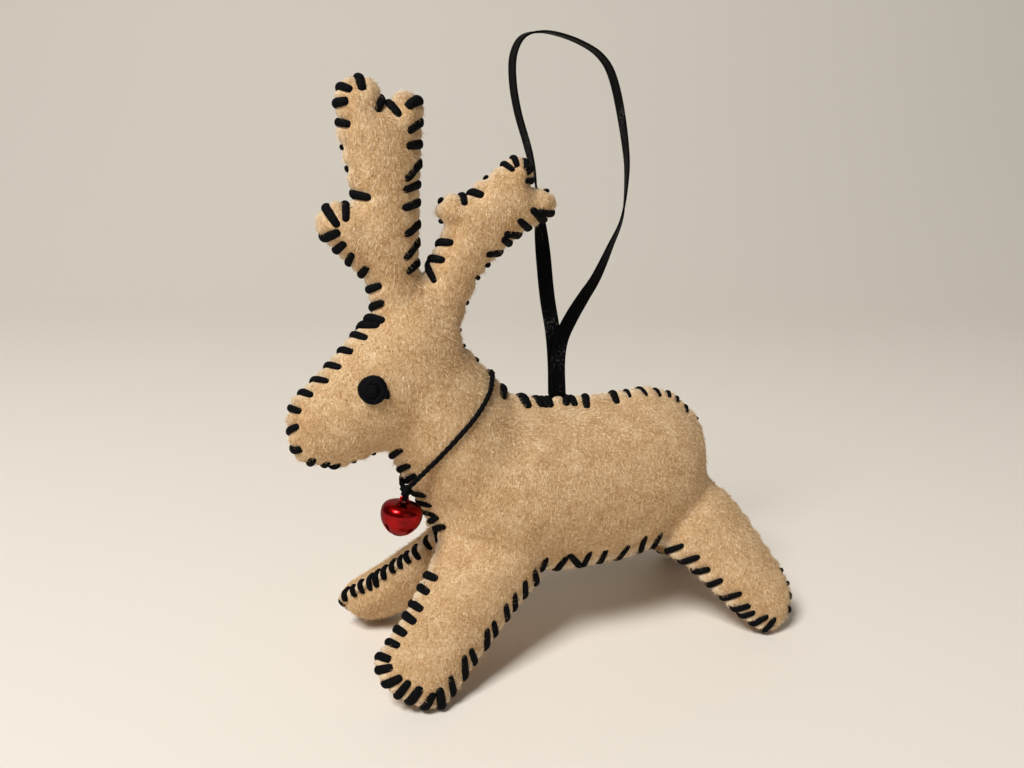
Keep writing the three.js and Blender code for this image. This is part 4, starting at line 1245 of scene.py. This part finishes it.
throat = KNOT_AT * (1, 0, 1)
cord_run = unit(throat - CORD_NAPE)
cord_bow = CORD_BOW * np.cross(cord_run, SIDEWAYS)
if cord_bow[2] < 0:
    cord_bow = -cord_bow
cord_middle = (throat + CORD_NAPE) / 2
felt_tree = BVHTree.FromPolygons([Vector(p) for p in body_points], body_faces)
section = []
for turn in np.linspace(0, 2 * math.pi, SECTION_RAYS, endpoint=False):
    way = math.cos(turn) * cord_run + math.sin(turn) * SIDEWAYS
    middle = cord_middle + cord_bow * math.sin(turn) ** 2
    hit = felt_tree.ray_cast(Vector(middle + RAY_START * way), Vector(-way))[0]
    reach = np.dot(np.array(hit) - middle, way) + CORD_RADIUS * CORD_REST
    reach += OVER_SEAM * math.exp(-(math.sin(turn) / SEAM_TURN) ** 2)
    section.append((reach * math.cos(turn), reach * math.sin(turn)))
knot_flat = np.array((np.dot(KNOT_AT - cord_middle, cord_run), KNOT_AT[1]))
loop = convex_loop(section + [tuple(knot_flat)])
loop = np.roll(loop, -int(np.linalg.norm(loop - knot_flat, axis=1).argmin()), axis=0)
loop = np.vstack([loop, loop[:1]])
lifted = (loop[:, 1] / np.linalg.norm(loop, axis=1)) ** 2
cord_line = (cord_middle + np.outer(loop[:, 0], cord_run) + np.outer(loop[:, 1], SIDEWAYS)
             + np.outer(lifted, cord_bow))
cord_line = spaced(cord_line, CORD_STEPS, CORD_TRIM)
for _ in range(CORD_ROUNDS):
    cord_line[1:-1] = 0.5 * cord_line[1:-1] + 0.25 * (cord_line[:-2] + cord_line[2:])
cord_black = cotton_finish("black_twisted_cord", "#060607", "#151416")
neck_cord = thread_piece("neck_cord_loop", [cord_line], [carried(cord_line, cord_run)],
                         [np.full(len(cord_line), CORD_RADIUS)], **CORD_TWIST, Finish=cord_black)
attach(neck_cord, "reindeer")
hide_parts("neck_cord")
print("neck cord", len(neck_cord.data.polygons), "faces")

# %% Tie the knot
KNOT_SPREAD = 0.56
KNOT_LIFT = 0.15
KNOT_STEPS = 90
KNOT_RING = 0.75
KNOT_WAVE = 0.5
STRAND_RADIUS = 0.24
STRAND_SHIFT = 0.17
STRAND_STEPS = 40
STRAND_ROUTE = [(-0.7, 1.6), (-0.8, 0.9), (-0.6, 0.25), (0.0, 0.0), (0.6, 0.25), (0.8, 0.9), (0.7, 1.6)]
bell_up = np.array(JOINTS["ball_rattle"]["axis"])
bell_ahead = np.cross(SIDEWAYS, bell_up)
shank_at = np.array(JOINTS["bell_swing"]["pos_m"]) / MM
turn = np.linspace(0, 2 * math.pi, KNOT_STEPS)
reach = KNOT_RING + KNOT_WAVE * np.cos(3 * turn)
knot_path = KNOT_AT + KNOT_LIFT * bell_up + KNOT_SPREAD * np.stack(
    [reach * np.cos(2 * turn), reach * np.sin(2 * turn), KNOT_RING * np.sin(3 * turn)], axis=1)
paths, radii = [knot_path], [np.full(len(knot_path), CORD_RADIUS)]
for shift in (-STRAND_SHIFT, STRAND_SHIFT):
    route = [shank_at + shift * bell_ahead + y * SIDEWAYS + rise * bell_up for y, rise in STRAND_ROUTE]
    paths.append(smooth_route(route, STRAND_STEPS))
    radii.append(np.full(STRAND_STEPS + 1, STRAND_RADIUS))
knot = thread_piece("throat_knot", paths, [carried(path, cord_run) for path in paths], radii,
                    **CORD_TWIST, Finish=cord_black)
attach(knot, "knot")
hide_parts("cord_knot")
print(knot.name, len(knot.data.polygons), "faces")

# %% [markdown]
# ## The bell
# A small pressed steel jingle bell, broad at the shoulder and narrow at the foot, where two
# slits cross, dipped in red lacquer. It hangs a little forward, off the chest. A profile is
# spun into a shell, the slits are cut the way the seams were, the wall gets its thickness,
# and two short ends of wire carry the shank's arch down into the shell.

# %% Bell finish
PATCH_SIZE = 2.5
SCUFF_SIZE = 0.4
lacquer, tree, shader = new_finish("red_lacquered_steel")
# The red goes darker and lighter in soft patches at random.
colours = two_tone(tree, noise(tree, PATCH_SIZE, 2.0), 0.3, "#7e0408", 0.75, "#b0070b")
fill(tree, shader, {"Base Color": colours.outputs[0], "Metallic": 1.0, "Roughness": 0.24,
                    "Specular Tint": paint("#a00608"), "Coat Weight": 0.25, "Coat Roughness": 0.06})
steel, tree, shader = new_finish("dull_steel")
rough = add(tree, "ShaderNodeMapRange", {0: noise(tree, SCUFF_SIZE, 3.0), 3: 0.25, 4: 0.55})
fill(tree, shader, {"Base Color": paint("#5e5e5c"), "Metallic": 1.0, "Roughness": rough.outputs[0]})
print("made", lacquer.name, steel.name)

# %% Spin the bell shell
BELL_DROP = 5.26
BELL_WALL = 0.42
BELL_PROFILE = [
    (0.02, 3.25), (1.4, 3.22), (2.4, 3.06), (3.1, 2.74), (3.55, 2.22), (3.76, 1.55), (3.76, 0.8), (3.62, 0.0),
    (3.32, -0.78), (2.86, -1.46), (2.26, -2.14), (1.5, -2.7), (0.7, -3.0), (0.02, -3.08),
]
BELL_SIDES = 72
BELL_ROWS = 60
SHANK_WIRE = 0.23
SHANK_SIDES = 16
SHANK_HALF = 0.67
SHANK_FOOT = 3.05
SHANK_START = 3.72
SLIT_HALF = 0.42
SLIT_TOP = -1.1
HOLE_SHARE = 1.55
SLIT_TURN = math.radians(-25)
BELL_MIDDLE = KNOT_AT - BELL_DROP * bell_up
bell_ways = np.array((bell_ahead, SIDEWAYS, bell_up))
profile = smooth_route([(r, 0.0, z) for r, z in BELL_PROFILE], BELL_ROWS)
points = []
for r, _, z in profile:
    for k in range(BELL_SIDES):
        turn = 2 * math.pi * k / BELL_SIDES
        points.append(BELL_MIDDLE + np.array((r * math.cos(turn), r * math.sin(turn), z)) @ bell_ways)


def slit_edge(points):
    """Below zero inside the two crossed slits, which end in round holes."""
    x, y, z = bell_ways @ (points - BELL_MIDDLE).T
    turned_x = x * math.cos(SLIT_TURN) - y * math.sin(SLIT_TURN)
    turned_y = x * math.sin(SLIT_TURN) + y * math.cos(SLIT_TURN)
    narrow = np.minimum(np.abs(turned_x), np.abs(turned_y))
    hole = np.hypot(narrow, z - SLIT_TOP) - HOLE_SHARE * SLIT_HALF
    slit = np.maximum(narrow - SLIT_HALF, z - SLIT_TOP)
    return np.minimum(hole, slit)


shell = bmesh.new()
shell.from_mesh(mesh_of("bell", points, tube_faces(len(profile), BELL_SIDES)))
bmesh.ops.recalc_face_normals(shell, faces=shell.faces)
cut_where_zero(shell, slit_edge)
middles = np.array([f.calc_center_median() for f in shell.faces]) / MM
inside = slit_edge(middles) < 0
shell.faces.ensure_lookup_table()
bmesh.ops.delete(shell, geom=[f for f, cut in zip(shell.faces, inside) if cut], context="FACES")
bell = new_piece("jingle_bell_shell", as_mesh("bell_shell", shell), lacquer)
thicken(bell, BELL_WALL)
with_feet = bmesh.new()
with_feet.from_mesh(bell.data)
for side in (-SHANK_HALF, SHANK_HALF):
    middle = BELL_MIDDLE + np.array((side, 0.0, (SHANK_FOOT + SHANK_START) / 2)) @ bell_ways
    upright = Matrix(bell_ways.T).to_4x4()
    upright.translation = Vector(middle * MM)
    bmesh.ops.create_cone(with_feet, cap_ends=True, segments=SHANK_SIDES, radius1=SHANK_WIRE * MM,
                          radius2=SHANK_WIRE * MM, depth=(SHANK_START - SHANK_FOOT) * MM, matrix=upright)
with_feet.to_mesh(bell.data)
with_feet.free()
bell.data.polygons.foreach_set("use_smooth", [True] * len(bell.data.polygons))
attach(bell, "bell")
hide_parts("bell_shell")
for node_name, finish in (("bell_shank", lacquer), ("bell_ball", steel)):
    frame["nodes"][node_name].data.materials.clear()
    frame["nodes"][node_name].data.materials.append(finish)
print(bell.name, len(bell.data.polygons), "faces")

# %% [markdown]
# ## Floor and light
# A pale sweep of paper under the reindeer and behind it, a large soft lamp above and to the
# left of the camera, and a weaker one on the right.

# %% Floor
FLOOR_HALF = 1.2
SWEEP_START = 0.30
SWEEP_RADIUS = 0.35
SWEEP_STEPS = 16
paper, tree, shader = new_finish("pale_paper")
fill(tree, shader, {"Base Color": paint("#ebe3d7"), "Roughness": 0.95})
profile = [(-FLOOR_HALF, 0.0), (SWEEP_START, 0.0)]
for step in range(1, SWEEP_STEPS + 1):
    turn = step / SWEEP_STEPS * math.pi / 2
    profile.append((SWEEP_START + SWEEP_RADIUS * math.sin(turn), SWEEP_RADIUS * (1 - math.cos(turn))))
profile.append((SWEEP_START + SWEEP_RADIUS, FLOOR_HALF))
away_x, away_y = Vector((LOOK.x, LOOK.y)).normalized()
floor_points = []
for depth, height in profile:
    for side in (-FLOOR_HALF, FLOOR_HALF):
        floor_points.append((away_x * depth + away_y * side, away_y * depth - away_x * side, height))
floor_faces = [(2 * i, 2 * i + 2, 2 * i + 3, 2 * i + 1) for i in range(len(profile) - 1)]
floor = new_piece("floor", mesh_of("floor", np.array(floor_points) / MM, floor_faces), paper)

# %% Lamps
AIM = Vector((0.0, 0.0, 0.05))
AMBIENT = 0.12


def soft_lamp(name, place, width, power):
    """A square lamp that shines on the reindeer."""
    lamp = bpy.data.objects.new(name, bpy.data.lights.new(name, "AREA"))
    lamp.data.size = width
    lamp.data.energy = power
    lamp.location = place
    lamp.rotation_euler = (AIM - Vector(place)).to_track_quat("-Z", "Y").to_euler()
    scene.collection.objects.link(lamp)


soft_lamp("key_lamp", place=(-0.48, -0.31, 0.77), width=0.3, power=9.1)
soft_lamp("fill_lamp", place=(0.2, -0.9, 0.35), width=0.6, power=0.4)
world = bpy.data.worlds.new("studio")
scene.world = world
world.use_nodes = True
fill(world.node_tree, world.node_tree.nodes["Background"], {"Color": (1, 1, 1, 1), "Strength": AMBIENT})
print("lit")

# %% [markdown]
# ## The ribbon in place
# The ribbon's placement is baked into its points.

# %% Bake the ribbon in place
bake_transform(ribbon)
